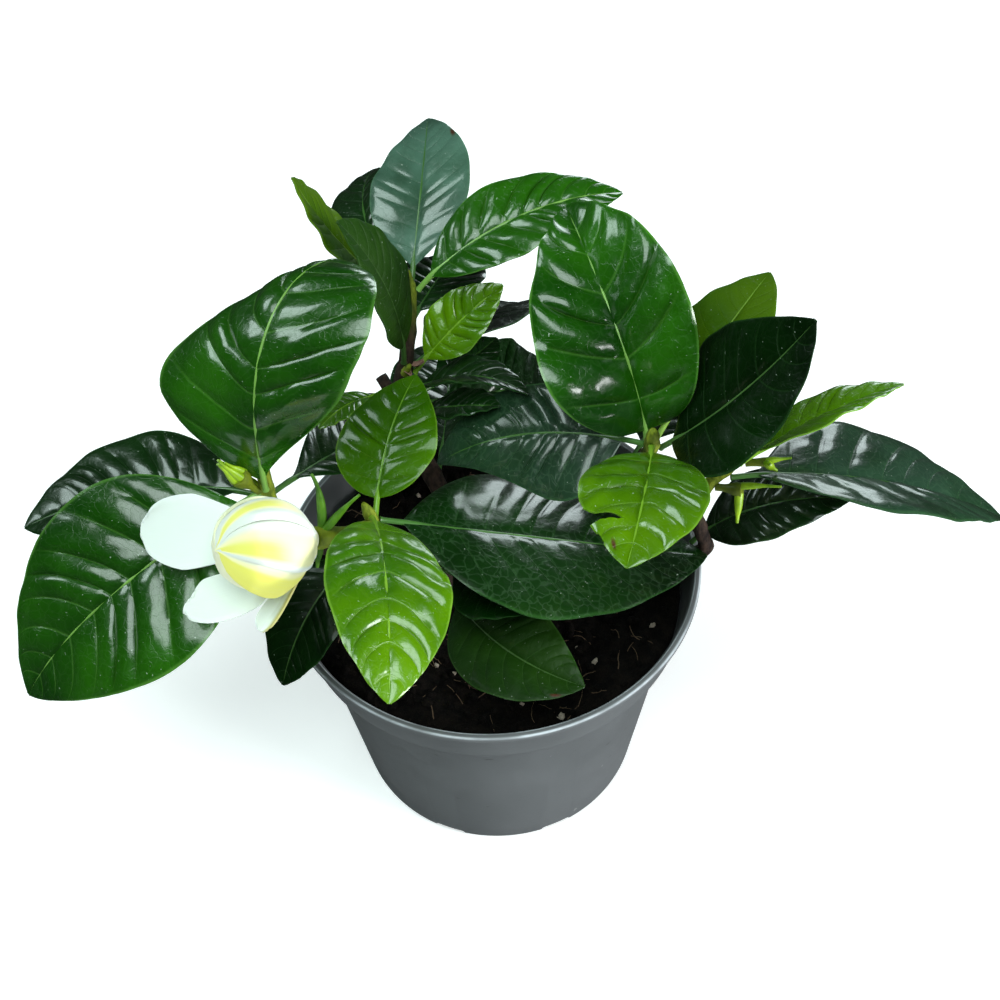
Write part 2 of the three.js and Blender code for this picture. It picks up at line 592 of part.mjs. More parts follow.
// Pot: a lathed shell with a collar and lip, drainage channels under the floor and a hole in each
function potGeometry() {
  const collarFoot = potHeight - collarHeight;
  const shoulder = collarFoot - shoulderHeight;
  const lipFoot = potHeight - lipHeight;
  const floorTop = footHeight + floorThickness;
  const profile = [
    [0, 0], [baseRadius - 1, 0], [baseRadius, 1], [bodyTopRadius, shoulder], [collarFootRadius, collarFoot],
    [collarTopRadius, lipFoot], [rimRadius, lipFoot + 0.4], [rimRadius, potHeight - 0.6], [rimRadius - 0.6, potHeight],
    [rimInnerRadius, potHeight], [collarTopRadius - wallThickness, lipFoot - 1.5],
    [collarFootRadius - wallThickness, collarFoot + 0.6], [bodyTopRadius - wallThickness, shoulder + 0.6],
    [baseRadius - wallThickness, floorTop + 1], [baseRadius - wallThickness - 1, floorTop], [0, floorTop],
  ].map(([r, z]) => new THREE.Vector2(r, z));
  let pot = toSolid(new THREE.LatheGeometry(profile, potSides).rotateX(Math.PI / 2));
  for (let i = 0; i < channelCount; i += 1) {
    const turn = new THREE.Matrix4().makeRotationZ(((i + 0.5) / channelCount) * 2 * Math.PI);
    const length = rimRadius - channelStart;
    const channel = new THREE.BoxGeometry(length, channelWidth, 2 * footHeight)
      .translate(channelStart + length / 2, 0, 0).applyMatrix4(turn);
    const hole = new THREE.CylinderGeometry(drainHoleRadius, drainHoleRadius, 4 * floorTop, 12)
      .rotateX(Math.PI / 2).translate(drainHoleDistance, 0, 0).applyMatrix4(turn);
    pot = pot.subtract(toSolid(channel)).subtract(toSolid(hole));
  }
  return toGeometry(pot);
}

// Soil: fills the pot to a little under the lip, crumbly on top, with a plain hole for each stem
const clods = (x, y) => clodHeight * (
  Math.sin(0.31 * x + 1.3) * Math.cos(0.27 * y) + 0.6 * Math.sin(0.55 * y + 0.23 * x) + 0.35 * Math.sin(0.9 * x - 0.7 * y)
);

function soilGeometry() {
  const floorTop = footHeight + floorThickness + clearance;
  const shoulder = potHeight - collarHeight - shoulderHeight;
  const side = wallThickness + clearance + 0.2;
  const edge = collarFootRadius - side;
  const profile = [
    [0, floorTop], [baseRadius - side - 1, floorTop], [baseRadius - side, floorTop + 1.2],
    [bodyTopRadius - side, shoulder + 0.6], [edge, potHeight - collarHeight + 0.9], [edge, soilTop - 1.5],
    [edge * 0.86, soilTop], [edge * 0.7, soilTop], [edge * 0.54, soilTop], [edge * 0.38, soilTop],
    [edge * 0.22, soilTop], [0, soilTop],
  ].map(([r, z]) => new THREE.Vector2(r, z));
  const geometry = new THREE.LatheGeometry(profile, soilSides).rotateX(Math.PI / 2);
  const position = geometry.getAttribute('position');
  for (let i = 0; i < position.count; i += 1) {
    if (position.getZ(i) > soilTop - 2) {
      position.setZ(i, position.getZ(i) + clods(position.getX(i), position.getY(i)));
    }
  }
  let soil = toSolid(geometry);
  for (const name of ['crown', 'centre', 'right']) {
    const place = stemPlace(name, stems[name].length);
    const above = stemPlace(name, stems[name].length - 3 * stemSink);
    const way = above.point.clone().sub(place.point).normalize();
    const hole = bar(straight(place.point.clone().addScaledVector(way, -clearance), way, 3 * stemSink), 1, 12,
      () => stems[name].foot + nodeSwell + 2 * clearance);
    soil = soil.subtract(toSolid(hole));
  }
  return toGeometry(soil);
}

// Assembly
const plant = new THREE.Group();

function addPiece(name, geometry, color, roughness) {
  const piece = new THREE.Mesh(geometry, new THREE.MeshStandardMaterial({ color, roughness, metalness: 0 }));
  piece.name = name;
  plant.add(piece);
}

addPiece('pot', potGeometry(), 0x6b6e70, 0.55);
addPiece('soil', soilGeometry(), 0x1c1410, 0.95);
for (const [name, make] of Object.entries(stemParts)) addPiece(name, toGeometry(make()), 0x5a4a2a, 0.8);
for (const leaf of leaves) {
  addPiece(`leaf_${leaf.name}`, leaf.bite ? bittenGeometry(leaf) : leafGeometry(leaf), leaf.color, 0.3);
}
addPiece('bloom_calyx', bloomCalyxGeometry(), 0x3f7a1c, 0.5);
addPiece('bloom_tube', throatGeometry(), white, 0.5);
for (const petal of petals) addPiece(petal.name, petalGeometry(petal), white, 0.5);
for (let turn = 0; turn < wrapCount; turn += 1) addPiece(`petal_wrap_${turn + 1}`, wrapGeometry(turn), cream, 0.5);
addPiece('bloom_heart', heartGeometry(), cream, 0.5);
for (const calyx of calyxes) addPiece(calyx.name, sideCalyxGeometry(calyx), 0x6f8f2a, 0.6);

export default plant;
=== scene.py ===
# Potted gardenia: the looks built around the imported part. Sizes are in millimetres unless a comment says
# otherwise, and angles in degrees.
import math
import random
import bpy
from mathutils import Matrix, Vector, noise


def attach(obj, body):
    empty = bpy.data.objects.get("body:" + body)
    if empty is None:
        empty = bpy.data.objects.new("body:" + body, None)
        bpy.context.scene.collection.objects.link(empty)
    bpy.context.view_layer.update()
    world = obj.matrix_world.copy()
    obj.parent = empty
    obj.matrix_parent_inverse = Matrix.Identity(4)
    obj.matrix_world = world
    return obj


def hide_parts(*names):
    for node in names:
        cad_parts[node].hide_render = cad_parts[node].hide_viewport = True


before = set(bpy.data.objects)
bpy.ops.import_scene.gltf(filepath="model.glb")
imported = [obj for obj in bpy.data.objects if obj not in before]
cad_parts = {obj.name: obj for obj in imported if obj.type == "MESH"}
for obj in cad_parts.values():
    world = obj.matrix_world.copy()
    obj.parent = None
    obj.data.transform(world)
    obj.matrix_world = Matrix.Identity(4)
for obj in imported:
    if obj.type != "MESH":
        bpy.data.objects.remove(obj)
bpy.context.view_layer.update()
mm = 0.001
up = Vector((0, 0, 1))
print("frame loaded")


def clamp(value, low=0.0, high=1.0):
    return max(low, min(high, value))


def smooth(low, high, value):
    t = clamp((value - low) / (high - low))
    return t * t * (3 - 2 * t)


def direction(azimuth, pitch):
    a, p = math.radians(azimuth), math.radians(pitch)
    return Vector((math.cos(p) * math.cos(a), math.cos(p) * math.sin(a), math.sin(p)))


def paint(red, green, blue):  # a colour picker's 0 to 255 values as the light that a shader wants
    def light(value):
        v = value / 255
        return v / 12.92 if v <= 0.04045 else ((v + 0.055) / 1.055) ** 2.4
    return (light(red), light(green), light(blue), 1.0)


# Mesh helpers
def deselectAll():
    bpy.ops.object.select_all(action="DESELECT")


def pick(*pieces):
    deselectAll()
    for piece in pieces:
        piece.select_set(True)
    bpy.context.view_layer.objects.active = pieces[0]


def applyModifiers(piece):
    pick(piece)
    for modifier in list(piece.modifiers):
        bpy.ops.object.modifier_apply(modifier=modifier.name)


def bendSheet(name, columns, rows, place):
    # a flat grid whose point (across -1..1, along 0..1) goes where the formula says, in mm
    deselectAll()
    bpy.ops.mesh.primitive_grid_add(x_subdivisions=columns, y_subdivisions=rows, size=2)
    piece = bpy.context.object
    piece.name = piece.data.name = name
    piece.data.uv_layers[0].name = "sheetMap"
    for vertex in piece.data.vertices:
        vertex.co = place(vertex.co.x, (vertex.co.y + 1) / 2) * mm
    return piece


def gridShares(piece, columns, rows):  # across and along of every point of such a sheet
    count = columns + 1
    return [((i % count) / columns * 2 - 1, (i // count) / rows) for i in range(len(piece.data.vertices))]


def mergeSeam(piece):
    pick(piece)
    bpy.ops.object.mode_set(mode="EDIT")
    bpy.ops.mesh.select_all(action="SELECT")
    bpy.ops.mesh.remove_doubles(threshold=1e-6)
    bpy.ops.object.mode_set(mode="OBJECT")


def rollTube(name, points, radii, sides=12, ridge=None):
    # a closed round bar through the points; its ends shrink to poles
    points = [points[0]] + list(points) + [points[-1]]
    radii = [0] + list(radii) + [0]
    count = len(points)
    frames = []
    side = Vector((1, 0.3, 0.1))
    for i in range(count):
        tangent = (points[min(i + 1, count - 1)] - points[max(i - 1, 0)]).normalized()
        side = (side - tangent * side.dot(tangent)).normalized()
        frames.append((side.copy(), tangent.cross(side)))

    def place(across, along):
        i = round(along * (count - 1))
        angle = math.pi * across
        radius = radii[i]
        if ridge and radius:
            radius = ridge(radius, angle, i / (count - 1))
        first, second = frames[i]
        return points[i] + first * (radius * math.cos(angle)) + second * (radius * math.sin(angle))
    piece = bendSheet(name, sides, count - 1, place)
    mergeSeam(piece)
    return piece


def joinPieces(name, pieces):
    pick(*pieces)
    if len(pieces) > 1:
        bpy.ops.object.join()
    piece = bpy.context.view_layer.objects.active
    piece.name = piece.data.name = name
    return piece


def finishPiece(piece, materials, nodes, angle=60):  # edges sharper than the angle stay sharp
    pick(piece)
    bpy.ops.object.shade_smooth_by_angle(angle=math.radians(angle))
    if materials:
        piece.data.materials.clear()
        for material in materials:
            piece.data.materials.append(material)
    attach(piece, "root")
    if nodes:
        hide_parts(*nodes)


def writeShade(piece, name, values):  # a number for each point, or one for all, for a material to read
    if not isinstance(values, list):
        values = [values] * len(piece.data.vertices)
    piece.data.attributes.new(name, "FLOAT", "POINT").data.foreach_set("value", values)


def thicken(piece, thickness, offset=0, underMaterial=0):
    solid = piece.modifiers.new("thickness", "SOLIDIFY")
    solid.thickness = thickness * mm
    solid.offset = offset
    solid.material_offset = underMaterial
    applyModifiers(piece)


def cutAway(piece, cutters):
    for cutter in cutters:
        cut = piece.modifiers.new("cut", "BOOLEAN")
        cut.operation = "DIFFERENCE"
        cut.object = cutter
    applyModifiers(piece)
    for cutter in cutters:
        bpy.data.objects.remove(cutter)


def bow(start, knee, end, steps):  # a smooth bend from start to end, pulled towards the knee
    shares = [k / steps for k in range(steps + 1)]
    return [start * (1 - t) ** 2 + knee * (2 * t * (1 - t)) + end * t * t for t in shares]


# Material helpers
def addNode(tree, kind, inputs=None, **settings):
    made = tree.nodes.new("ShaderNode" + kind)
    for key, value in settings.items():
        setattr(made, key, value)
    for key, value in (inputs or {}).items():
        if isinstance(value, bpy.types.NodeSocket):
            tree.links.new(value, made.inputs[key])
        else:
            made.inputs[key].default_value = value
    return made.outputs


def newMaterial(name, **sockets):
    material = bpy.data.materials.new(name)
    material.use_nodes = True
    shader = material.node_tree.nodes["Principled BSDF"]
    for key, value in sockets.items():
        shader.inputs[key.replace("_", " ")].default_value = value
    return material, material.node_tree


def mathNode(tree, operation, first, second=0.0):
    return addNode(tree, "Math", {0: first, 1: second}, operation=operation)[0]


def times(tree, first, second, plus=0.0):
    return addNode(tree, "Math", {0: first, 1: second, 2: plus}, operation="MULTIPLY_ADD")[0]


def ramp(tree, value, fromMin, fromMax, toMin=0.0, toMax=1.0):
    inputs = {"Value": value, "From Min": fromMin, "From Max": fromMax, "To Min": toMin, "To Max": toMax}
    return addNode(tree, "MapRange", inputs, interpolation_type="SMOOTHSTEP")[0]


def mix(tree, factor, first, second):
    inputs = {0: factor}
    for key, value in ((6, first), (7, second)):
        inputs[key] = value if isinstance(value, bpy.types.NodeSocket) else paint(*value)
    return addNode(tree, "Mix", inputs, data_type="RGBA")[2]


def objectPoint(tree):
    return addNode(tree, "TexCoord")["Object"]


def speckle(tree, point, scale, detail=3.0, roughness=0.5):
    inputs = {"Vector": point, "Scale": scale, "Detail": detail, "Roughness": roughness}
    return addNode(tree, "TexNoise", inputs)["Fac"]


def stretched(tree, point, scale):
    return addNode(tree, "Mapping", {"Vector": point, "Scale": scale})[0]


def readShade(tree, name):
    return addNode(tree, "Attribute", attribute_name=name)["Fac"]


def plugIn(tree, **sockets):
    shader = tree.nodes["Principled BSDF"]
    for key, value in sockets.items():
        tree.links.new(value, shader.inputs[key.replace("_", " ")])


def relief(tree, height, strength, distance):
    return addNode(tree, "Bump", {"Height": height, "Strength": strength, "Distance": distance * mm})[0]


# Materials. A noise is its scale per metre, detail and roughness, a span or line is from, to and the values
# there, relief is strength and depth, and edges are the radius and width of the painted highlights on the
# pot's rim
leafFinish = {
    "dark": dict(low=(1, 22, 1), high=(9, 44, 5), vein=(52, 98, 44), net=(96, 130, 96), under=(52, 86, 44),
        rib=(62, 104, 44), roughness=0.36, coat=0.75, specular=0.22, veinMix=0.16),
    "deep": dict(low=(0, 16, 0), high=(3, 34, 1), vein=(40, 78, 34), net=(60, 96, 56), under=(44, 76, 38),
        rib=(62, 96, 44), roughness=0.4, coat=0.2, specular=0.1, veinMix=0.2),
    "mid": dict(low=(8, 52, 0), high=(32, 88, 2), vein=(96, 150, 60), net=(110, 160, 90),
        under=(70, 116, 48), rib=(118, 164, 74), roughness=0.3, coat=0.8, specular=0.28, veinMix=0.2),
    "dull": dict(low=(11, 42, 2), high=(34, 66, 12), vein=(60, 96, 44), net=(70, 104, 60),
        under=(52, 86, 40), rib=(58, 92, 40), roughness=0.5, coat=0.06, specular=0.14, veinMix=0.25),
    "olive": dict(low=(40, 76, 0), high=(70, 100, 0), vein=(96, 130, 30), net=(96, 130, 30),
        under=(84, 116, 30), rib=(110, 146, 50), roughness=0.5, coat=0.05, specular=0.12, veinMix=0.15),
    "young": dict(low=(36, 78, 0), high=(66, 110, 0), vein=(120, 160, 50), net=(120, 160, 50),
        under=(100, 140, 36), rib=(100, 148, 30), roughness=0.3, coat=0.4, specular=0.12, veinMix=0.1),
    "lime": dict(low=(50, 98, 0), high=(90, 138, 0), vein=(142, 190, 70), net=(150, 196, 80),
        under=(104, 146, 40), rib=(122, 168, 44), roughness=0.28, coat=0.8, specular=0.3, veinMix=0.22),
}
# The pale blue-green tint, with its noise and span, is painted sheen standing in for reflected light
leafSkin = dict(veinLine=(0.445, 0.495), veinFade=(0.55, 0.98, 1.0, 0.15), veinDepth=-0.6, warpScale=190.0,
                warp=0.006, netScale=330.0, netLine=(0.0, 0.09, 1.0, 0.0), netLeast=0.03, netDepth=-0.16,
                patches=(26.0, 3.0), patchSpan=(0.3, 0.7), rimLine=(0.955, 0.99), rimMix=0.35,
                shine=(104, 146, 128), shineNoise=(42.0, 4.0, 0.6), shineSpan=(0.3, 0.66, 0.35, 1.0),
                brown=(70, 34, 16), dust=(190, 204, 190), dustNoise=(1300.0, 1.0), dustSpan=(0.755, 0.79),
                dustMix=0.55, grain=(900.0, 4.0), grainDepth=0.22, ripple=(230.0, 2.5), rippleDepth=1.9,
                relief=(0.6, 0.4), gloss=(60.0, 4.0), glossChange=0.16, glossStart=-0.08)


def leafTopMaterial(tone):
    look, skin = leafFinish[tone], leafSkin
    material, tree = newMaterial("leafTop" + tone.title(), Coat_Weight=look["coat"], Coat_Roughness=0.15,
                                 Specular_IOR_Level=look["specular"])
    sheet = addNode(tree, "SeparateXYZ", {"Vector": addNode(tree, "UVMap", uv_map="sheetMap")[0]})
    across = mathNode(tree, "ABSOLUTE", times(tree, sheet["X"], 2.0, -1.0))
    toVein = mathNode(tree, "ABSOLUTE", mathNode(tree, "SUBTRACT", mathNode(tree, "FRACT", sheet["Y"]), 0.5))
    vein = times(tree, ramp(tree, toVein, *skin["veinLine"]), ramp(tree, across, *skin["veinFade"]))
    point = objectPoint(tree)
    warp = addNode(tree, "TexNoise", {"Vector": point, "Scale": skin["warpScale"], "Detail": 2.0})["Color"]
    inputs = {0: warp, 1: [skin["warp"]] * 3, 2: point}
    warped = addNode(tree, "VectorMath", inputs, operation="MULTIPLY_ADD")[0]
    inputs = {"Vector": warped, "Scale": skin["netScale"]}
    cells = addNode(tree, "TexVoronoi", inputs, feature="DISTANCE_TO_EDGE")
    net = ramp(tree, cells["Distance"], *skin["netLine"])
    patch = ramp(tree, speckle(tree, point, *skin["patches"]), *skin["patchSpan"])
    colour = mix(tree, patch, look["low"], look["high"])
    colour = mix(tree, times(tree, vein, look["veinMix"]), colour, look["vein"])
    netMix = times(tree, net, mathNode(tree, "ADD", readShade(tree, "leafNet"), skin["netLeast"]))
    colour = mix(tree, netMix, colour, look["net"])
    rim = times(tree, ramp(tree, across, *skin["rimLine"]), skin["rimMix"])
    colour = mix(tree, rim, colour, look["vein"])
    value = mathNode(tree, "ADD", readShade(tree, "leafShade"), 1.0)
    colour = addNode(tree, "HueSaturation", {"Color": colour, "Value": value})[0]
    # painted sheen: pale blue-green clouds on leaves given a share of it, standing in for reflected light
    cloud = ramp(tree, speckle(tree, point, *skin["shineNoise"]), *skin["shineSpan"])
    colour = mix(tree, times(tree, readShade(tree, "leafShine"), cloud), colour, skin["shine"])
    colour = mix(tree, readShade(tree, "leafBrown"), colour, skin["brown"])
    dust = ramp(tree, speckle(tree, point, *skin["dustNoise"]), *skin["dustSpan"])
    colour = mix(tree, times(tree, dust, skin["dustMix"]), colour, skin["dust"])
    height = times(tree, speckle(tree, point, *skin["grain"]), skin["grainDepth"])
    height = times(tree, net, skin["netDepth"], height)
    height = times(tree, speckle(tree, point, *skin["ripple"]), skin["rippleDepth"], height)
    height = times(tree, vein, skin["veinDepth"], height)
    start = look["roughness"] + skin["glossStart"]
    rough = times(tree, speckle(tree, point, *skin["gloss"]), skin["glossChange"], start)
    plugIn(tree, Base_Color=colour, Roughness=rough, Normal=relief(tree, height, *skin["relief"]))
    return material


petalSkin = dict(white=(226, 234, 230), cream=(250, 246, 190), yellow=(240, 236, 104),
                 vein=(214, 224, 206), dry=(186, 178, 92), stretch=(26.0, 1.6, 1.0), fibre=(3.0, 4.0),
                 veinSpan=(0.45, 0.75), veinMix=0.08, fibreDepth=0.5, grain=(500.0,), grainDepth=0.2,
                 relief=(0.35, 0.3))


def petalMaterial():
    skin = petalSkin
    material, tree = newMaterial("petalSoft", Roughness=0.5, Subsurface_Weight=0.12, Subsurface_Scale=0.4,
                                 Subsurface_Radius=(0.004, 0.004, 0.003), Sheen_Weight=0.15,
                                 Sheen_Roughness=0.5, Specular_IOR_Level=0.3)
    sheet = addNode(tree, "UVMap", uv_map="sheetMap")[0]
    fibre = speckle(tree, stretched(tree, sheet, skin["stretch"]), *skin["fibre"])
    warm = readShade(tree, "petalWarm")
    colour = mix(tree, ramp(tree, warm, 0.0, 0.5), skin["white"], skin["cream"])
    colour = mix(tree, ramp(tree, warm, 0.5, 1.0), colour, skin["yellow"])
    veined = times(tree, ramp(tree, fibre, *skin["veinSpan"]), skin["veinMix"])
    colour = mix(tree, veined, colour, skin["vein"])
    colour = mix(tree, readShade(tree, "petalDry"), colour, skin["dry"])
    grain = times(tree, speckle(tree, objectPoint(tree), *skin["grain"]), skin["grainDepth"])
    height = times(tree, fibre, skin["fibreDepth"], grain)
    plugIn(tree, Base_Color=colour, Normal=relief(tree, height, *skin["relief"]))
    return material


barkSkin = dict(stretch=(1.0, 1.0, 0.3), grain=(620.0, 6.0, 0.65), grainSpan=(0.3, 0.7), relief=(0.8, 0.6),
                woody=[(18, 11, 9), (64, 47, 38)], fresh=[(74, 92, 8), (128, 142, 30)])


def barkMaterial():
    material, tree = newMaterial("bark", Roughness=0.75, Specular_IOR_Level=0.3)
    grain = speckle(tree, stretched(tree, objectPoint(tree), barkSkin["stretch"]), *barkSkin["grain"])
    patch = ramp(tree, grain, *barkSkin["grainSpan"])
    woody, fresh = [mix(tree, patch, *barkSkin[kind]) for kind in ("woody", "fresh")]
    plugIn(tree, Base_Color=mix(tree, readShade(tree, "young"), woody, fresh),
           Normal=relief(tree, grain, *barkSkin["relief"]))
    return material


soilSkin = dict(coarse=(260.0, 8.0, 0.7), span=(0.35, 0.75), low=(2, 1, 1), high=(24, 18, 14),
                fine=(900.0, 6.0), fineDepth=0.5, relief=(1.0, 1.6))


def soilMaterial():
    material, tree = newMaterial("pottingSoil", Roughness=0.95, Specular_IOR_Level=0.15)
    point = objectPoint(tree)
    coarse = speckle(tree, point, *soilSkin["coarse"])
    colour = mix(tree, ramp(tree, coarse, *soilSkin["span"]), soilSkin["low"], soilSkin["high"])
    height = times(tree, speckle(tree, point, *soilSkin["fine"]), soilSkin["fineDepth"], coarse)
    plugIn(tree, Base_Color=colour, Normal=relief(tree, height, *soilSkin["relief"]))
    return material


plainSkins = {  # patches of two colours; the overlay lies where a piece's shade of that name is written
    "under": dict(patches=(40.0, 4.0), grain=(700.0,), relief=(0.4, 0.2), darker=0.72, lighter=1,
                  sockets=dict(Roughness=0.5, Specular_IOR_Level=0.35)),
    "rib": dict(patches=(120.0, 3.0), darker=0.8, lighter=1.12,
                sockets=dict(Roughness=0.34, Coat_Weight=0.2, Coat_Roughness=0.2, Specular_IOR_Level=0.4)),
    "green": dict(patches=(180.0, 4.0), span=(0.3, 0.7), overlay=("driedTip", (22, 16, 16)),
                  grain=(600.0, 4.0), relief=(0.4, 0.3), sockets=dict(
                      Roughness=0.42, Coat_Weight=0.15, Coat_Roughness=0.25, Specular_IOR_Level=0.4)),
    "grain": dict(patches=(800.0, 5.0), relief=(0.7, 0.4),
                  sockets=dict(Roughness=0.85, Specular_IOR_Level=0.25)),
}


def plainMaterial(name, kind, low, high, **sockets):
    skin = plainSkins[kind]
    material, tree = newMaterial(name, **{**skin["sockets"], **sockets})
    point = objectPoint(tree)
    patch = speckle(tree, point, *skin["patches"])
    grain = speckle(tree, point, *skin["grain"]) if "grain" in skin else patch
    if "span" in skin:
        patch = ramp(tree, patch, *skin["span"])
    colour = mix(tree, patch, low, high)
    if "overlay" in skin:
        shadeName, over = skin["overlay"]
        colour = mix(tree, readShade(tree, shadeName), colour, over)
    plugIn(tree, Base_Color=colour)
    if "relief" in skin:
        plugIn(tree, Normal=relief(tree, grain, *skin["relief"]))
    return material


def leafMaterials(part, kind):
    made = {}
    for tone, look in leafFinish.items():
        shares = [plainSkins[kind]["darker"], plainSkins[kind]["lighter"]]
        low, high = [[min(255, share * c) for c in look[kind]] for share in shares]
        made[tone] = plainMaterial(part + tone.title(), kind, low, high)
    return made


# The pale lines on the rim, given last in this table, are a painted highlight
potSkin = dict(low=(86, 89, 91), high=(102, 105, 108), cloud=(34.0, 5.0, 0.6), cloudDepth=0.8,
               stretch=(1.0, 1.0, 4.0), scuff=(40, 38, 38), scuffNoise=(190.0, 2.0),
               scuffSpan=(0.735, 0.78), scuffMix=0.75, dust=(170, 172, 170), dustNoise=(410.0, 2.0),
               dustSpan=(0.76, 0.8), dustMix=0.5, rimHighlight=(206, 214, 222), rimHighlightNoise=(70.0, 4.0),
               rimHighlightSpan=(0.35, 0.6, 0.35, 0.9), rimHighlightFrom=(89.5, 90.2), edges=[(64.7, 0.5), (63.2, 0.35)],
               gloss=(0.2, 0.8, 0.42, 0.56), grain=(1500.0, 2.0), grainDepth=0.4, relief=(0.25, 0.25))


def potMaterial():
    skin = potSkin
    material, tree = newMaterial("nurseryPlastic", Specular_IOR_Level=0.3, Coat_Weight=0.04,
                                 Coat_Roughness=0.4)
    point = objectPoint(tree)
    cloud = speckle(tree, point, *skin["cloud"])
    colour = mix(tree, cloud, skin["low"], skin["high"])
    for kind, place in (("scuff", stretched(tree, point, skin["stretch"])), ("dust", point)):
        spots = ramp(tree, speckle(tree, place, *skin[kind + "Noise"]), *skin[kind + "Span"])
        colour = mix(tree, times(tree, spots, skin[kind + "Mix"]), colour, skin[kind])
    parts = addNode(tree, "SeparateXYZ", {"Vector": point})
    squares = times(tree, parts["X"], parts["X"], times(tree, parts["Y"], parts["Y"]))
    radius = mathNode(tree, "SQRT", squares)
    # painted highlight: patchy pale lines round the rim's two edges near the top stand in for light caught
    # there
    rimHighlight = ramp(tree, speckle(tree, point, *skin["rimHighlightNoise"]), *skin["rimHighlightSpan"])
    high = ramp(tree, parts["Z"], *[height * mm for height in skin["rimHighlightFrom"]])
    for spot, width in skin["edges"]:
        away = mathNode(tree, "ABSOLUTE", mathNode(tree, "SUBTRACT", radius, spot * mm))
        line = times(tree, ramp(tree, away, 0.0, width * mm, 1.0, 0.0), high)
        colour = mix(tree, times(tree, line, rimHighlight), colour, skin["rimHighlight"])
    height = times(tree, cloud, skin["cloudDepth"])
    height = times(tree, speckle(tree, point, *skin["grain"]), skin["grainDepth"], height)
    plugIn(tree, Base_Color=colour, Roughness=ramp(tree, cloud, *skin["gloss"]),
           Normal=relief(tree, height, *skin["relief"]))
    return material


leafTop = {tone: leafTopMaterial(tone) for tone in leafFinish}
leafBelow = leafMaterials("leafUnder", "under")
leafRib = leafMaterials("leafRib", "rib")
petalSoft = petalMaterial()
freshGreen = plainMaterial("freshGreen", "green", (92, 132, 10), (150, 184, 26))
sepalGreen = plainMaterial("sepalGreen", "green", (34, 74, 6), (76, 122, 18))
sheathGreen = plainMaterial("sheathGreen", "green", (58, 70, 10), (112, 126, 28))
bark = barkMaterial()
soilDark = soilMaterial()
perlite = plainMaterial("perlite", "grain", (122, 104, 92), (206, 194, 180))
fibreBrown = plainMaterial("fibreBrown", "grain", (26, 18, 13), (124, 102, 82))
papery = plainMaterial("papery", "grain", (120, 112, 96), (186, 180, 164), Roughness=0.7)
dryPink = plainMaterial("dryPink", "grain", (96, 62, 52), (170, 136, 122))
potGrey = potMaterial()
print("materials made")


# Stems: the same smooth curves as the part's
stemShapes = {
    "crown": dict(path=[(-6, 6, 72), (-10, 10, 95), (-19, 20, 118), (-25, 25, 138),
                   (-22, 27, 153), (-20, 34, 168), (-20, 38, 179)],
        foot=3.4, top=1.8, young=0.8),
    "left": dict(path=[(-10, 9, 92), (-22, -4, 104), (-40, -17, 120), (-54, -24, 136),
                   (-60, -21, 149), (-61, -19, 160)],
        foot=2.8, top=1.9, young=0.72),
    "centre": dict(path=[(-3, -10, 72), (-11, -14, 96), (-23, -20, 122), (-31, -24, 138), (-33, -25, 147)],
        foot=3.2, top=1.8, young=0.66),
    "right": dict(path=[(12, 9, 72), (24, 12, 96), (36, 9, 117), (43, -4, 138), (46, -13, 154),
                   (46, -18, 166)],
        foot=3.4, top=1.9, young=0.8),
    "far": dict(path=[(18, 10, 84), (38, 3, 91), (57, -7, 98), (64, -12, 107), (62, -15, 120),
                   (60, -17, 132), (63, -16, 142), (73, -11, 148)],
        foot=2.7, top=1.7, young=0.72),
}
stemLook = dict(trim={"crown": 4.5}, nodeSwell=0.35, nodeSpacing=13, nodeLength=1.8, sides=20, step=1.0,
                budLength=5, budSteps=6, budPeak=0.95, youngSpan=0.18, curveSteps=40)


def smoothCurve(points):
    # a centripetal curve through the points, as even short steps
    points = [Vector(p) for p in points]
    points = [points[0] * 2 - points[1]] + points + [points[-1] * 2 - points[-2]]
    spots, steps = [], stemLook["curveSteps"]
    for i in range(1, len(points) - 2):
        p0, p1, p2, p3 = points[i - 1:i + 3]
        d0, d1, d2 = [math.sqrt((b - a).length) for a, b in ((p0, p1), (p1, p2), (p2, p3))]
        m1 = ((p1 - p0) / d0 - (p2 - p0) / (d0 + d1) + (p2 - p1) / d1) * d1
        m2 = ((p2 - p1) / d1 - (p3 - p1) / (d1 + d2) + (p3 - p2) / d2) * d1
        square, cube = p2 * 3 - p1 * 3 - m1 * 2 - m2, p1 * 2 - p2 * 2 + m1 + m2
        for t in [k / steps for k in range(steps)]:
            spots.append(p1 + m1 * t + square * t * t + cube * t ** 3)
    return spots + [points[-2]]


def measure(spots):
    lengths = [0.0]
    for a, b in zip(spots, spots[1:]):
        lengths.append(lengths[-1] + (b - a).length)
    return lengths


def pointAt(curve, distance):
    spots, lengths = curve["spots"], curve["lengths"]
    distance = clamp(distance, 0, lengths[-1])
    i = next((k for k in range(1, len(lengths)) if lengths[k] >= distance), len(lengths) - 1)
    share = (distance - lengths[i - 1]) / (lengths[i] - lengths[i - 1])
    return spots[i - 1].lerp(spots[i], share), (spots[i] - spots[i - 1]).normalized()


for stem in stemShapes.values():
    stem["spots"] = smoothCurve(stem["path"])
    stem["lengths"] = measure(stem["spots"])
    stem["length"] = stem["lengths"][-1]


def stemRadius(stem, distance):
    taper = stem["foot"] + (stem["top"] - stem["foot"]) * distance / stem["length"]
    toNode = (stem["length"] - distance) % stemLook["nodeSpacing"] - stemLook["nodeSpacing"] / 2
    return taper + stemLook["nodeSwell"] * math.exp(-(toNode / stemLook["nodeLength"]) ** 2)


def stemPlace(name, back):
    stem = stemShapes[name]
    distance = clamp(stem["length"] - back, 0, stem["length"])
    point, axis = pointAt(stem, distance)
    return point, axis, stemRadius(stem, distance)


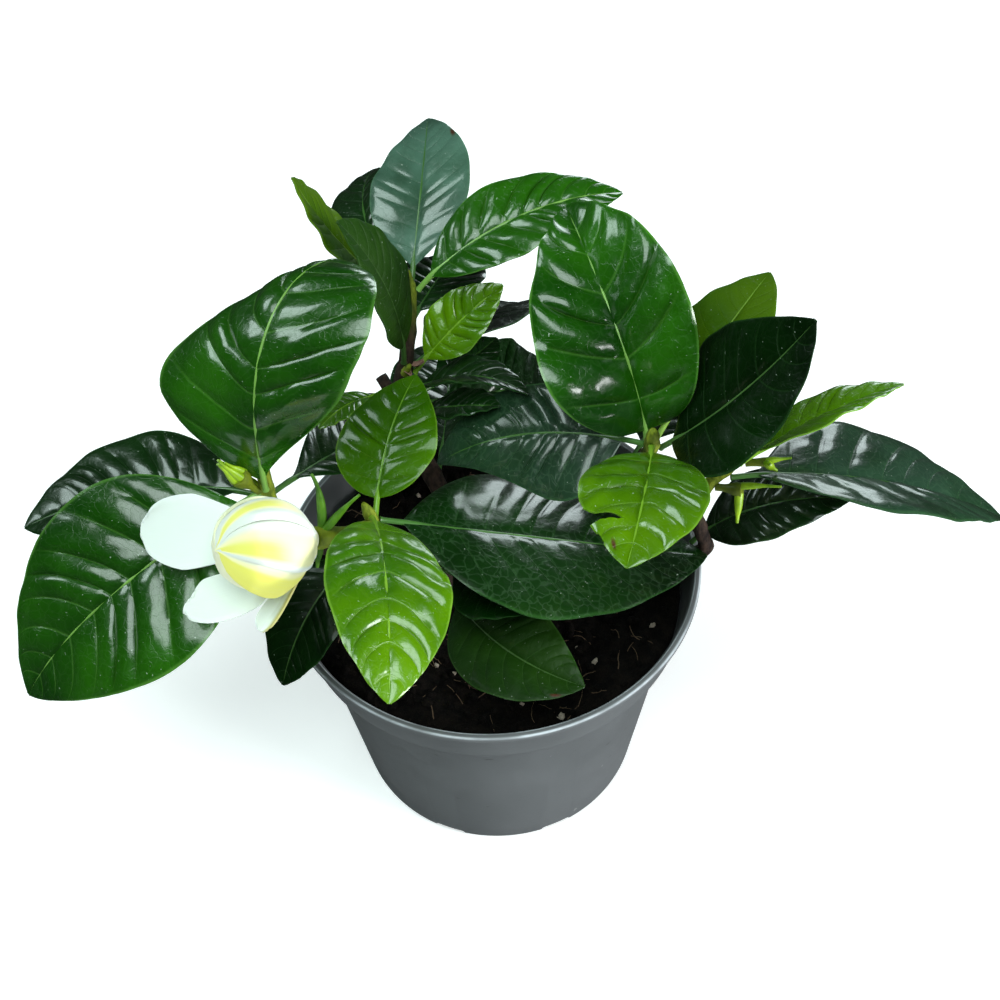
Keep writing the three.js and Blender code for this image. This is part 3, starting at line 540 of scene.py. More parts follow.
def seat(place, way, rootRadius, gap=0.3):
    point, axis, radius = place
    along = way.dot(axis)
    out = (way - axis * along).normalized()
    return point + out * (radius + gap + rootRadius * abs(along))


def knotty(radius, angle, share):
    return radius * (1 + 0.05 * math.sin(3 * angle + 9 * share) + 0.03 * math.sin(7 * angle + 40 * share))


def shadeYoung(piece, stem, youngFrom):
    # the bark turns green where the stem is young; every fourth spot of its curve is near enough
    values, spots = [], stem["spots"]
    for vertex in piece.data.vertices:
        co = vertex.co / mm
        k = min(range(0, len(spots), 4), key=lambda i: (spots[i] - co).length_squared)
        share = stem["lengths"][k] / stem["length"]
        values.append(smooth(youngFrom, youngFrom + stemLook["youngSpan"], share))
    writeShade(piece, "young", values)


def makeStem(name):
    stem = stemShapes[name]
    top = stem["length"] - stemLook["trim"].get(name, 0)
    steps = round(top / stemLook["step"])
    points, radii = [], []
    for k in range(steps + 1):
        distance = top * k / steps
        points.append(pointAt(stem, distance)[0])
        radii.append(stemRadius(stem, distance))
    way = pointAt(stem, top)[1]
    for t in [k / stemLook["budSteps"] for k in range(1, stemLook["budSteps"])]:  # the bud at the tip
        points.append(points[steps] + way * (stemLook["budLength"] * t))
        radii.append(stem["top"] * stemLook["budPeak"] * math.sqrt(1.02 - t))
    piece = rollTube("stem" + name.title(), points, radii, stemLook["sides"], knotty)
    shadeYoung(piece, stem, stem["young"])
    return piece


twigs = {  # short shoots on the crown's stem
    "cutStub": dict(back=47, azimuth=125, pitch=30, length=9, radius=1.8, tipShare=1, young=0.0),
    "sideBud": dict(back=21, azimuth=200, pitch=60, length=6, radius=1.3, tipShare=0.25, young=1.0),
    "growthBud": dict(back=34, azimuth=-50, pitch=62, length=6, radius=1.7, tipShare=0.3, young=1.0),
}


def makeTwig(name, twig, steps=8, sides=14):
    point, axis, thick = stemPlace("crown", twig["back"])
    way = direction(twig["azimuth"], twig["pitch"])
    points = [point + way * ((twig["length"] + thick) * k / steps) for k in range(steps + 1)]
    radii = [twig["radius"] * (1 + (twig["tipShare"] - 1) * (k / steps) ** 2) for k in range(steps + 1)]
    made = rollTube(name, points, radii, sides, knotty)
    writeShade(made, "young", twig["young"])
    return made


scrapSets = {  # dry scraps and a young bract: stem, back, azimuth, pitch, length, width
    "paleScraps": dict(material=papery, slot="bark", scraps=[
        ("centre", 9, 205, 30, 5.5, 3.4), ("centre", 13, 175, 0, 4.5, 2.6), ("centre", 17, 215, -15, 4, 3)]),
    "pinkScraps": dict(material=dryPink, slot="bark", scraps=[
        ("crown", 29, -20, 20, 4.5, 2.4), ("crown", 32, -60, 35, 4, 2)]),
    "youngBract": dict(material=freshGreen, slot="calyx", scraps=[("left", 5, 175, 10, 5, 2.2)]),
}
scrapLook = dict(thickness=0.25, curl=1.1, bent=0.9, sunk=-0.3, columns=6, rows=8)


def makeScrap(stem, back, azimuth, pitch, length, width):
    way = direction(azimuth, pitch)
    start = seat(stemPlace(stem, back), way, 0, scrapLook["sunk"])
    side = up.cross(way).normalized()
    out = way.cross(side)

    def surface(across, along):
        half = width / 2 * math.sin(math.pi * (0.15 + 0.75 * along))
        rise = scrapLook["curl"] * across * across + scrapLook["bent"] * math.sin(3 * along + back)
        return start + way * (length * along) + side * (half * across) + out * rise
    scrap = bendSheet("scrap", scrapLook["columns"], scrapLook["rows"], surface)
    thicken(scrap, scrapLook["thickness"], -1)
    return scrap


stemPieces = {name: makeStem(name) for name in stemShapes}
twigPieces = [makeTwig(name, twig) for name, twig in twigs.items()]
crownStem = joinPieces("crownStem", [stemPieces["crown"], stemPieces["left"]] + twigPieces)
centreStem = joinPieces("centreStem", [stemPieces["centre"]])
rightStem = joinPieces("rightStem", [stemPieces["right"], stemPieces["far"]])
finishPiece(crownStem, [bark], ["stem_crown"], 180)
finishPiece(centreStem, [bark], ["stem_centre"], 180)
finishPiece(rightStem, [bark], ["stem_right"], 180)
for scrapName, scrapSet in scrapSets.items():
    made = joinPieces(scrapName, [makeScrap(*scrap) for scrap in scrapSet["scraps"]])
    finishPiece(made, [scrapSet["material"]], [])
print("stems made")


# Leaves: each blade follows the part's own blade, finer. Back is how far below the stem's top a leaf grows,
# tone its material, dark unless given, and finish and shade change the looks within it
# Some leaves carry a share of painted sheen, a pale blue-green tint that stands in for reflected light
leafShapes = {
    "left_top": dict(stem="left", back=4, length=90, width=56, azimuth=90, pitch=95, droop=146, bend=1.59,
        roll=16, sweep=-47, fold=-12, widest=0.41, lean=-0.8, stalk=4, tone="mid", bulge=1.5, shade=-0.02,
        veins=9),
    "left_low": dict(stem="left", back=7, length=93, width=56, azimuth=-148, pitch=-6, droop=54, bend=1.16,
        roll=26, sweep=-16, fold=4, widest=0.42, stalk=6, tone="mid", bulge=1.3, shade=0.05, veins=10),
    "left_back": dict(stem="left", back=10, length=77, width=41, azimuth=153, pitch=-8, droop=15, roll=-2,
        sweep=40, fold=7, widest=0.47, stalk=8, bulge=0.9, shade=-0.1),
    "left_inner": dict(stem="left", back=10, length=62, width=25, azimuth=56, pitch=-17, droop=15, roll=-12,
        sweep=-2, fold=1, widest=0.61, stalk=6),
    "small_lime": dict(stem="crown", back=41, length=26, width=12, azimuth=200, pitch=26, droop=41,
        roll=-10, sweep=31, fold=8, widest=0.52, stalk=5, tone="lime"),
    "crown_tall": dict(stem="crown", back=6, length=61, width=32, azimuth=81, pitch=32, droop=39, roll=18,
        sweep=6, fold=4, widest=0.45, stalk=5, bulge=0.35, shade=0.1, shine=0.5, spots=[(0.93, 0.62, 0.05)]),
    "crown_right": dict(stem="crown", back=6, length=68, width=28, azimuth=18, pitch=46, droop=65, roll=-5,
        sweep=1, fold=5, widest=0.42, stalk=5, tone="mid", bulge=1.2, shade=0.05),
    "crown_back": dict(stem="crown", back=6, length=67, width=27, azimuth=122, pitch=4, droop=25, roll=30,
        sweep=-46, fold=5, widest=0.51, stalk=5),
    "crown_left": dict(stem="crown", back=8, length=50, width=24, azimuth=170, pitch=44, droop=-27,
        roll=-16, sweep=2, fold=3, widest=0.52, stalk=5, tone="lime", bulge=0.4, shade=0.15,
        finish="olive"),
    "crown_low": dict(stem="crown", back=16, length=34, width=30, azimuth=66, pitch=6, droop=26, roll=10,
        sweep=0, fold=4, widest=0.48, taper=0, stalk=3),
    "mid_up": dict(stem="crown", back=27, length=59, width=26, azimuth=169, pitch=94, droop=34, bend=0.86,
        roll=15, sweep=29, fold=7, widest=0.47, taper=0, stalk=6, bulge=0.5, finish="dull"),
    "mid_lime": dict(stem="crown", back=32, length=37, width=18, azimuth=20, pitch=51, droop=24, roll=-25,
        sweep=3, fold=11, widest=0.44, stalk=5, tone="lime", bulge=1.2, shade=-0.02),
    "curved_dark": dict(stem="crown", back=40, length=42, width=17, azimuth=-9, pitch=44, droop=56,
        bend=1.26, roll=16, sweep=-27, fold=14, widest=0.4, stalk=5),
    "short_dark": dict(stem="crown", back=48, length=35, width=15, azimuth=-26, pitch=35, droop=11, roll=5,
        sweep=-6, fold=8, widest=0.47, stalk=5),
    "back_glossy": dict(stem="crown", back=48, length=65, width=34, azimuth=22, pitch=-7, droop=42,
        roll=-23, sweep=23, fold=11, widest=0.56, stalk=9, bulge=1.4, net=0.08),
    "back_tip": dict(stem="crown", back=33, length=72, width=36, azimuth=52, pitch=-6, droop=35, roll=18,
        sweep=10, fold=7, widest=0.53, stalk=8, bulge=0.9, net=0.08),
    "spike_dark": dict(stem="crown", back=45, length=38, width=16, azimuth=32, pitch=6, droop=18, roll=-5,
        sweep=24, fold=3, widest=0.49, stalk=9),
    "shadow_left": dict(stem="crown", back=58, length=63, width=35, azimuth=137, pitch=-15, droop=38,
        roll=-12, sweep=-9, fold=7, widest=0.52, stalk=8),
    "right_top": dict(stem="right", back=13, length=77, width=48, azimuth=120, pitch=83, droop=89, bend=0.8,
        roll=22, sweep=-18, fold=24, widest=0.39, lean=-0.15, taper=0, stalk=4, tone="mid", bulge=2.0,
        shade=0.24, veins=7, wave=1.8),
    "right_dark": dict(stem="right", back=10, length=66, width=41, azimuth=-31, pitch=52, droop=-6,
        bend=0.8, roll=-21, sweep=40, fold=6, widest=0.4, stalk=5, bulge=0.4, shade=-0.1, veins=8,
        finish="deep"),
    "right_back": dict(stem="right", back=10, length=58, width=32, azimuth=46, pitch=42, droop=32, roll=21,
        sweep=4, fold=6, widest=0.51, stalk=6, tone="mid", bulge=0.2, shade=0.05, finish="olive"),
    "right_bitten": dict(stem="right", back=2, length=56, width=34, azimuth=-97, pitch=34, droop=40,
        bend=1.12, roll=0, sweep=-10, fold=6, widest=0.51, taper=0, stalk=5, tone="lime", bulge=1.5,
        shade=-0.16, veins=7, spots=[(0.62, 0.84, 0.05)],
        bite=dict(along=0.73, side=1, centre=(0.5, 1.5), depth=10, ragged=0.18, outline=[
            (-4, -1.2), (1, -0.8), (6, -1.1), (11, -0.7), (7.5, 0.6), (4.5, 1.7), (2.2, 3.4), (3.6, 5),
            (5.4, 6.2), (6.6, 8), (7, 9.6), (7.7, 12.5), (3, 15), (-4, 13)])),
    "right_inner": dict(stem="right", back=9, length=67, width=34, azimuth=151, pitch=-10, droop=34,
        bend=1.69, roll=27, sweep=25, fold=-8, widest=0.34, lean=-0.4, stalk=6, bulge=0.8, shade=0.06,
        shine=0.1, net=0.08),
    "far_lime": dict(stem="far", back=2, length=50, width=24, azimuth=20, pitch=28, droop=18, roll=32,
        sweep=-10, fold=9, widest=0.48, stalk=5, tone="lime"),
    "far_long": dict(stem="far", back=6, length=89, width=51, azimuth=6, pitch=0, droop=36, bend=0.8,
        roll=19, sweep=-5, fold=9, widest=0.43, stalk=7, bulge=1.2, veins=9, shine=0.12, net=0.05),
    "far_low": dict(stem="far", back=56, length=55, width=25, azimuth=-4, pitch=61, droop=53, bend=0.81,
        roll=-11, sweep=-12, fold=5, widest=0.44, taper=0.15, stalk=7),
    "centre_lime": dict(stem="centre", back=6, length=46, width=30, azimuth=84, pitch=28, droop=25,
        bend=0.93, roll=9, sweep=-20, fold=1, widest=0.4, taper=0, stalk=5, tone="lime", bulge=0.7,
        shade=0.12, veins=8, finish="young"),
    "centre_bright": dict(stem="centre", back=0, length=73, width=34, azimuth=-77, pitch=44, droop=69,
        bend=0.92, roll=20, sweep=-16, fold=5, widest=0.53, taper=0, stalk=5, tone="lime", bulge=1.35,
        shade=-0.04, veins=9),
    "centre_long": dict(stem="centre", back=5, length=99, width=60, azimuth=5, pitch=-20, droop=-2, roll=8,
        sweep=-1, fold=-6, widest=0.42, stalk=6, bulge=0.6, net=0.09),
    "left_down": dict(stem="centre", back=13, length=51, width=25, azimuth=-145, pitch=-1, droop=59,
        roll=-7, sweep=27, fold=5, widest=0.49, stalk=7, bulge=0.5, shade=-0.1, finish="deep"),
    "on_soil": dict(stem="centre", back=49, length=59, width=30, azimuth=-71, pitch=8, droop=3, roll=-15,
        sweep=45, fold=9, widest=0.47, stalk=8, bulge=0.4, finish="dull", spots=[(0.86, 0.78, 0.05)]),
    "under_centre": dict(stem="centre", back=36, length=40, width=25, azimuth=-36, pitch=14, droop=-2,
        roll=-2, sweep=-15, fold=7, widest=0.53, stalk=8, bulge=0.4, finish="deep"),
    "hidden_back": dict(stem="crown", back=74, length=74, width=38, azimuth=82, pitch=4, droop=30, roll=0,
        sweep=10, fold=7, widest=0.5, stalk=8),
    "hidden_right": dict(stem="right", back=42, length=68, width=36, azimuth=62, pitch=-4, droop=26, roll=0,
        sweep=8, fold=7, widest=0.5, stalk=8),
}
leafLook = dict(stalkRadius=0.9, thickness=0.5, slant=0.2, slantPower=1.25, fewestVeins=8, veinEvery=26,
                rowsPerVein=8, columns=32, bulge={"dark": 0.85, "mid": 1.1, "lime": 1.0},
                pillows=(0.65, 1.3), pillowPower=0.7, pillowMiddle=0.45, archPower=0.6, archShare=0.05,
                wave=0.5, waves=9, sunk=0.22, grooveWidth=1.1, crinkle=0.4, crinkleScale=0.2,
                limeCrinkle=1.6, uneven=0.02, unevenWaves=5.2, leastHalf=0.5, fullness=0.78, taper=0.35,
                usualBulge=0.8, fullWidth=30, rollFrom=0.12)
ribLook = dict(rows=40, end=0.985, sides=10, slimming=0.8, stalkShare=0.92, above=0.22, sunkInStem=0.8,
               foot=1.25)


def leafSpine(shape, place, rootRadius, steps=60):
    bend = shape.get("bend", 1)
    sweep = shape.get("sweep", 0)

    def heading(u):
        return direction(shape["azimuth"] + sweep * u, shape["pitch"] - shape["droop"] * u ** bend)
    points = [seat(place, heading(0), rootRadius)]
    for i in range(1, steps + 1):
        points.append(points[-1] + heading((i - 0.5) / steps) * (shape["length"] / steps))

    def spine(u):
        at = clamp(u) * steps
        i = min(int(at), steps - 1)
        azimuth = math.radians(shape["azimuth"] + sweep * u)
        tangent = heading(clamp(u))
        level = Vector((math.sin(azimuth), -math.cos(azimuth), 0))
        above = level.cross(tangent)
        roll = math.radians(shape["roll"]) * clamp(u / leafLook["rollFrom"])
        side = level * math.cos(roll) + above * math.sin(roll)
        return points[i].lerp(points[i + 1], at - i), side, side.cross(tangent), tangent
    return spine


def leafHalfWidth(leaf, share):
    power = math.log(0.5) / math.log(leaf["widest"])
    fullness = leafLook["fullness"] + leaf.get("taper", leafLook["taper"]) * (1 - share) ** 3
    return leaf["width"] / 2 * math.sin(math.pi * clamp(share) ** power) ** fullness


def makeBlade(name, leaf, tone, spine, stalkShare):
    look = leafLook
    usual = round(look["fewestVeins"] + (leaf["length"] - leaf["stalk"]) / look["veinEvery"])
    veins = leaf.get("veins", usual)
    bulgeShare = leaf.get("bulge", look["usualBulge"])
    bulgeHeight = look["bulge"][tone] * bulgeShare * min(1, leaf["width"] / look["fullWidth"])
    crinkle = look["crinkle"] * (look["limeCrinkle"] if tone == "lime" else 1)
    wave = leaf.get("wave", look["wave"])
    fold = math.radians(leaf["fold"])
    luck = random.Random(name)
    turn, second, patch = luck.uniform(0, 6), luck.uniform(0, 6), luck.uniform(0, 90)
    pillows = [[luck.uniform(*look["pillows"]) for k in range(veins + 1)] for half in range(2)]

    def surface(across, row):
        spread = abs(across)
        along = math.sin(look["unevenWaves"] * math.pi * row + turn)
        share = row + look["uneven"] * math.sin(math.pi * row) * along
        at = min(share + look["slant"] * spread ** look["slantPower"] * math.sin(math.pi * share), 1)
        point, side, normal, tangent = spine(stalkShare + (1 - stalkShare) * at)
        half = max(leafHalfWidth(leaf, at), look["leastHalf"])
        openness = half / (leaf["width"] / 2)
        between = math.sin(math.pi * ((row * veins) % 1)) ** look["pillowPower"]
        between *= pillows[across > 0][int(row * veins)]
        arch = (4 * spread * (1 - spread)) ** look["archPower"]
        rise = half * spread * math.sin(fold) + look["archShare"] * half * arch
        rise += bulgeHeight * openness * (between - look["pillowMiddle"]) * arch
        rise -= look["sunk"] * openness * math.exp(-(spread * half / look["grooveWidth"]) ** 2)
        phase = second if across > 0 else 0
        rise += wave * openness * spread ** 4 * math.sin(look["waves"] * share * math.pi + turn + phase)
        spot = Vector((half * across, share * leaf["length"], patch)) * look["crinkleScale"]
        rise += crinkle * openness * bulgeShare * noise.noise(spot)
        lopsided = 1 + leaf.get("lean", 0) * (1 - 2 * at) * (1 if across > 0 else -1)
        return point + side * (half * across * lopsided * math.cos(fold)) + normal * rise

    rows = veins * look["rowsPerVein"]
    blade = bendSheet("blade", look["columns"], rows, surface)
    for loop in blade.data.uv_layers[0].data:
        loop.uv.y *= veins
    browns = []
    for across, share in gridShares(blade, look["columns"], rows):
        brown = 0.0
        for spotAcross, spotShare, size in leaf.get("spots", []):
            away = math.hypot((across - spotAcross) * 0.5, share - spotShare)
            brown = max(brown, 1 - smooth(size * 0.5, size, away))
        browns.append(brown)
    writeShade(blade, "leafBrown", browns)
    # each leaf's shade, its share of painted sheen and its vein net, for the top material to read
    for shadeName in ("Shade", "Shine", "Net"):
        writeShade(blade, "leaf" + shadeName, float(leaf.get(shadeName.lower(), 0)))
    return blade


def biteOff(blade, leaf, bite, spine, stalkShare):
    # a cutter through the blade, whose outline is given as inward and along from a place on the edge
    point, side, normal, tangent = spine(stalkShare + (1 - stalkShare) * bite["along"])
    edge = point + side * (bite["side"] * leafHalfWidth(leaf, bite["along"]))
    inward = side * -bite["side"]
    outline = bite["outline"][::-1]
    ring = []
    for k in range(3 * len(outline)):
        (x0, y0), (x1, y1) = outline[k // 3], outline[(k // 3 + 1) % len(outline)]
        t = k % 3 / 3
        x, y = x0 + (x1 - x0) * t, y0 + (y1 - y0) * t
        ragged = bite["ragged"] * math.sin(2.3 * k) if k % 3 else 0
        ring.append(edge + inward * (x + ragged) + tangent * (y + ragged))
    hub = edge + inward * bite["centre"][0] + tangent * bite["centre"][1]

    def surface(across, along):
        spot = ring[round((across + 1) / 2 * len(ring)) % len(ring)] if 0.01 < along < 0.99 else hub
        return normal * (2 * bite["depth"] * clamp(along * 3 - 1) - bite["depth"]) + spot
    cutter = bendSheet("biteCutter", len(ring), 3, surface)
    mergeSeam(cutter)
    cutAway(blade, [cutter])


def makeRib(spine, stalkShare):
    points, radii = [], []
    for k in range(ribLook["rows"] + 1):
        u = k / ribLook["rows"] * ribLook["end"]
        point, side, normal, tangent = spine(u)
        inBlade = clamp((u - stalkShare) / (1 - stalkShare))
        radius = leafLook["stalkRadius"] * (1 - ribLook["slimming"] * inBlade ** 0.8)
        radius *= ribLook["stalkShare"] if u < stalkShare else 1
        lift = smooth(0, 0.12, inBlade) * (ribLook["above"] + 0.1 * radius - radius)
        points.append(point + normal * lift)
        radii.append(radius)
    way = (points[1] - points[0]).normalized()
    points = [points[0] - way * ribLook["sunkInStem"]] + points
    radii = [radii[0] * ribLook["foot"]] + radii
    return rollTube("rib", points, radii, ribLook["sides"])


def makeLeaf(name, leaf):
    tone = leaf.get("tone", "dark")
    finish = leaf.get("finish", tone)
    spine = leafSpine(leaf, stemPlace(leaf["stem"], leaf["back"]), leafLook["stalkRadius"])
    stalkShare = leaf["stalk"] / leaf["length"]
    blade = makeBlade(name, leaf, tone, spine, stalkShare)
    blade.data.materials.append(leafTop[finish])
    blade.data.materials.append(leafBelow[finish])
    thicken(blade, leafLook["thickness"], 0, 1)
    if "bite" in leaf:
        biteOff(blade, leaf, leaf["bite"], spine, stalkShare)
    rib = makeRib(spine, stalkShare)
    rib.data.materials.append(leafRib[finish])
    piece = joinPieces("leaf" + name.title().replace("_", ""), [blade, rib])
    finishPiece(piece, None, ["leaf_" + name], 50)


for leafName, leafShape in leafShapes.items():
    makeLeaf(leafName, leafShape)
print("leaves made")


# Flower
bloom = dict(centre=Vector((-48, -45, 161)), axis=Vector((-0.8, -0.42, 0.42)).normalized(),
             throatLength=2.5, throatRadius=4.1, throatFoot=2.4, throatWidest=0.7, throatSteps=6,
             throatSides=32, throatWarm=0.3, calyxLength=6, calyxRadius=3, stalkRadius=1.4, stalkBack=3,
             stalkSteps=24, rootRadius=0.8, petalBack=1.6)
petals = {
    "petal_broad": dict(length=45.5, width=22, azimuth=162, pitch=-17, droop=-30, roll=23, sweep=18, fold=0,
        widest=0.66, claw=0.75, ripple=0.5, warm=0.0, dry=0.0, curl=0.5, slant=0),
    "petal_lower": dict(length=37, width=15, azimuth=207, pitch=-31, droop=-38, roll=4, sweep=-19, fold=2,
        widest=0.72, claw=0.5, ripple=0.4, warm=0.04, dry=0.0, curl=0.6, slant=0.07),
    "petal_folded": dict(length=24, width=8.5, azimuth=230, pitch=-31, droop=-14, roll=0, sweep=3, fold=26,
        widest=0.6, claw=0.95, ripple=0.2, warm=0.0, dry=0.9, curl=0.2, slant=0),
}
petalLook = dict(columns=24, rows=40, thickness=0.6, cup=0.1, tipShare=0.35, tipDip=0.035, fullness=0.27,
                 leastHalf=0.9, footWarm=0.35, footEnd=0.35, drySpan=(0.5, 0.95))
wound = dict(profile=[(0, 4), (0.08, 7), (0.2, 10), (0.4, 11.9), (0.6, 11.5), (0.8, 9.6), (0.92, 6.2),
                      (1, 0.9)],
             count=6, start=48, span=-112, shortened={3: 0.75}, growth=2.7, lip=0.5, height=25, twist=30,
             clearance=0.3, lean=3, columns=36, rows=30, thickness=0.6)
heart = dict(height=25.5, scale=0.8, lobes=3, lobeDepth=0.16, twist=60, slimming=0.35, columns=48, rows=30,
             warm=0.4)
# Sepals: angle, length, how far out and how far along they reach
bloomSepals = [(100, 19, 0.95, 0.42), (82, 15, 0.95, -0.35), (285, 8, 0.9, -0.1)]
sideCalyxes = {
    "calyx_spent": dict(stem="left", back=6, azimuth=205, pitch=62, length=10, radius=2.7, dried=True,
                        sepals=[(20, 10, -0.12, 1), (95, 8, -0.12, 1), (165, 10, -0.12, 1),
                                (235, 8, -0.12, 1), (310, 10, -0.12, 1)]),
    "calyx_far": dict(stem="far", back=12, azimuth=-22, pitch=12, length=7, radius=1.9,
                      sepals=[(60, 12, 0.1, 1), (230, 9, 0.95, 0)]),
    "bud_far": dict(stem="far", back=1, azimuth=-10, pitch=12, length=6, radius=1.3,
                    sepals=[(90, 7, 0.1, 1), (150, 3, 0.9, 0.5), (270, 4, 0.9, 0.6)]),
}
calyxLook = dict(sides=20, ribs=0.07, mouth=0.9, sepalSides=10, sepalSteps=14, sepalRadius=0.8, keel=0.35,
                 least=0.12, inset=0.9, rootRadius=0.9, startRadius=1.1, sunk=-0.4, steps=16, overlap=0.7,
                 driedSepal=3, driedSpan=(0.5, 0.62))
bloomSide = up.cross(bloom["axis"]).normalized()
bloomTop = bloom["axis"].cross(bloomSide)


def bloomPoint(radius, angle, along):
    a = math.radians(angle)
    spot = bloom["centre"] + bloomSide * (radius * math.cos(a)) + bloomTop * (radius * math.sin(a))
    return spot + bloom["axis"] * along


def throatPlace(back):
    return bloom["centre"] - bloom["axis"] * back, bloom["axis"], bloom["throatRadius"]


def petalSurface(petal):
    look = petalLook
    spine = leafSpine(petal, throatPlace(bloom["petalBack"]), bloom["rootRadius"])
    power = math.log(0.5) / math.log(petal["widest"])
    fold = math.radians(petal["fold"])

    def surface(across, along):
        share = math.sin(math.pi / 2 * along)
        rounding = math.sin(math.pi * min(share, 0.9995) ** power) ** look["fullness"]
        claw = clamp((share + 0.1) / (petal["claw"] + 0.1))
        half = max(petal["width"] / 2 * rounding * claw, look["leastHalf"])
        reach = min(1, 2 * half / (look["tipShare"] * petal["width"]))
        slanted = petal["slant"] * (1 + across) / 2 * smooth(0.8, 1.0, share) * reach
        dip = look["tipDip"] * (across * reach) ** 2 + slanted
        point, side, normal, tangent = spine(share - dip)
        rise = half * (abs(across) * math.sin(fold) + look["cup"] * across * across)
        rise += petal["ripple"] * math.sin(7 * along + 2.2 * across) * abs(across) ** 3 * share
        rise -= petal["curl"] * smooth(0.85, 1, abs(across)) * smooth(0.3, 0.8, share)
        return point + side * (half * across * math.cos(fold)) + normal * rise
    return surface


def shadePetal(piece, warm, dry):
    writeShade(piece, "petalWarm", warm)
    writeShade(piece, "petalDry", dry)


def makePetal(name, petal):
    columns, rows = petalLook["columns"], petalLook["rows"]
    piece = bendSheet(name, columns, rows, petalSurface(petal))
    warm, dry = [], []
    for across, along in gridShares(piece, columns, rows):
        warm.append(petal["warm"] + petalLook["footWarm"] * (1 - smooth(0.0, petalLook["footEnd"], along)))
        dry.append(petal["dry"] * smooth(*petalLook["drySpan"], -across))
    shadePetal(piece, warm, dry)
    thicken(piece, petalLook["thickness"])
    finishPiece(piece, [petalSoft], [name])


for petalName, petal in petals.items():
    makePetal(petalName, petal)


def woundRadius(t):
    for (t0, r0), (t1, r1) in zip(wound["profile"], wound["profile"][1:]):
        if t <= t1:
            return r0 + (r1 - r0) * ((t - t0) / (t1 - t0))
    return wound["profile"][-1][1]


def smoothWoundRadius(t):  # the mean over a short stretch, so that the bands stay round
    return sum(woundRadius(clamp(t + d)) for d in (-0.06, -0.03, 0, 0.03, 0.06)) / 5


def wrapWarmth(turn, f, height):
    # how yellow a point is: the petals' own cream and yellow, and painted shade too, as parts that face away
    # from the light are made yellower
    if turn == 2:
        return 0.1 + 0.8 * smooth(0.6, 0.72, f) * (1 - smooth(0.8, 0.88, f)) * smooth(0.1, 0.6, height)
    if turn == 1:
        cream = 0.12 + 0.4 * smooth(0.48, 0.68, f) + 0.4 * smooth(0.6, 0.8, f) * smooth(0.3, 0.75, height)
        return cream * (1 - 0.9 * smooth(0.9, 0.95, f))
    if turn == 0:
        return 0.1 + 0.95 * smooth(0.45, 0.66, f)
    return 0.3


def tipShift(height):  # the closed tip leans down and to the back
    return (bloomSide + bloomTop) * (-0.7 * wound["lean"] * smooth(0.75, 1, height))


def makeWrap(turn):
    span = wound["span"] * wound["shortened"].get(turn, 1)

    def surface(across, along):
        f = (across + 1) / 2
        height = along * (0.96 + 0.04 * math.sin(math.pi * f))
        angle = wound["start"] + 360 * turn / wound["count"] + span * f + wound["twist"] * height
        closing = smooth(0.75, 1, height)
        growth = wound["growth"] * (f - 0.5) * (0.75 + 0.25 * math.sin(math.pi * height))
        growth *= 1 - 0.6 * closing
        lip = wound["lip"] * smooth(0.84, 0.95, f) * (1 - 1.6 * smooth(0.95, 1, f))
        lip = lip * smooth(0.05, 0.3, along) * (1 - closing)
        lip += 0.3 * math.sin(5 * height + 2 * turn) * smooth(0.5, 1, f) * (1 - closing)
        radius = max(smoothWoundRadius(height) + growth + lip, 0.4) * (1 - smooth(0.93, 1, height)) + 0.3
        return bloomPoint(radius, angle, wound["clearance"] + height * wound["height"]) + tipShift(height)
    name = "petal_wrap_%d" % (turn + 1)
    wrap = bendSheet(name, wound["columns"], wound["rows"], surface)
    shares = gridShares(wrap, wound["columns"], wound["rows"])
    shadePetal(wrap, [wrapWarmth(turn, (across + 1) / 2, along) for across, along in shares], 0.0)
    thicken(wrap, wound["thickness"])
    finishPiece(wrap, [petalSoft], [name])


for turn in range(wound["count"]):
    makeWrap(turn)


def heartSurface(across, along):
    angle, lobeAngle = 180 * across, 360 / heart["lobes"]
    lobe = 1 - heart["lobeDepth"] * (((angle - heart["twist"] * along + 720) % lobeAngle) / lobeAngle)
    radius = (smoothWoundRadius(along) * heart["scale"] - 1) * lobe * (1 - heart["slimming"] * along)
    if along <= 0 or along >= 1:
        radius = 0
    return bloomPoint(max(radius, 0), angle, wound["clearance"] + along * heart["height"]) + tipShift(along)


heartPiece = bendSheet("bloom_heart", heart["columns"], heart["rows"], heartSurface)
mergeSeam(heartPiece)
shadePetal(heartPiece, heart["warm"], 0.0)
finishPiece(heartPiece, [petalSoft], ["bloom_heart"])

throatStart = bloom["centre"] - bloom["axis"] * bloom["throatLength"]
throatGrowth = bloom["throatRadius"] - bloom["throatFoot"]
throatPoints, throatRadii, throatSteps = [], [], bloom["throatSteps"]
for k in range(throatSteps + 1):
    throatPoints.append(throatStart + bloom["axis"] * (bloom["throatLength"] * k / throatSteps))
    throatRadii.append(bloom["throatFoot"] + throatGrowth * clamp(k / throatSteps / bloom["throatWidest"]))
throat = rollTube("bloom_tube", throatPoints, throatRadii, bloom["throatSides"])
shadePetal(throat, bloom["throatWarm"], 0.0)
finishPiece(throat, [petalSoft], ["bloom_tube"])


def sepalStrip(name, start, knee, end):
    steps, radii = calyxLook["sepalSteps"], []
    for k in range(steps + 1):
        width = 0.75 + 0.6 * math.sin(math.pi * min(0.9, 0.25 + k / steps)) - 0.55 * k / steps
        radii.append(max(calyxLook["sepalRadius"] * width, calyxLook["least"]))

    def keeled(radius, angle, share):
        return radius * (1 + calyxLook["keel"] * abs(math.cos(angle)) ** 3)
    return rollTube(name, bow(start, knee, end, steps), radii, calyxLook["sepalSides"], keeled)


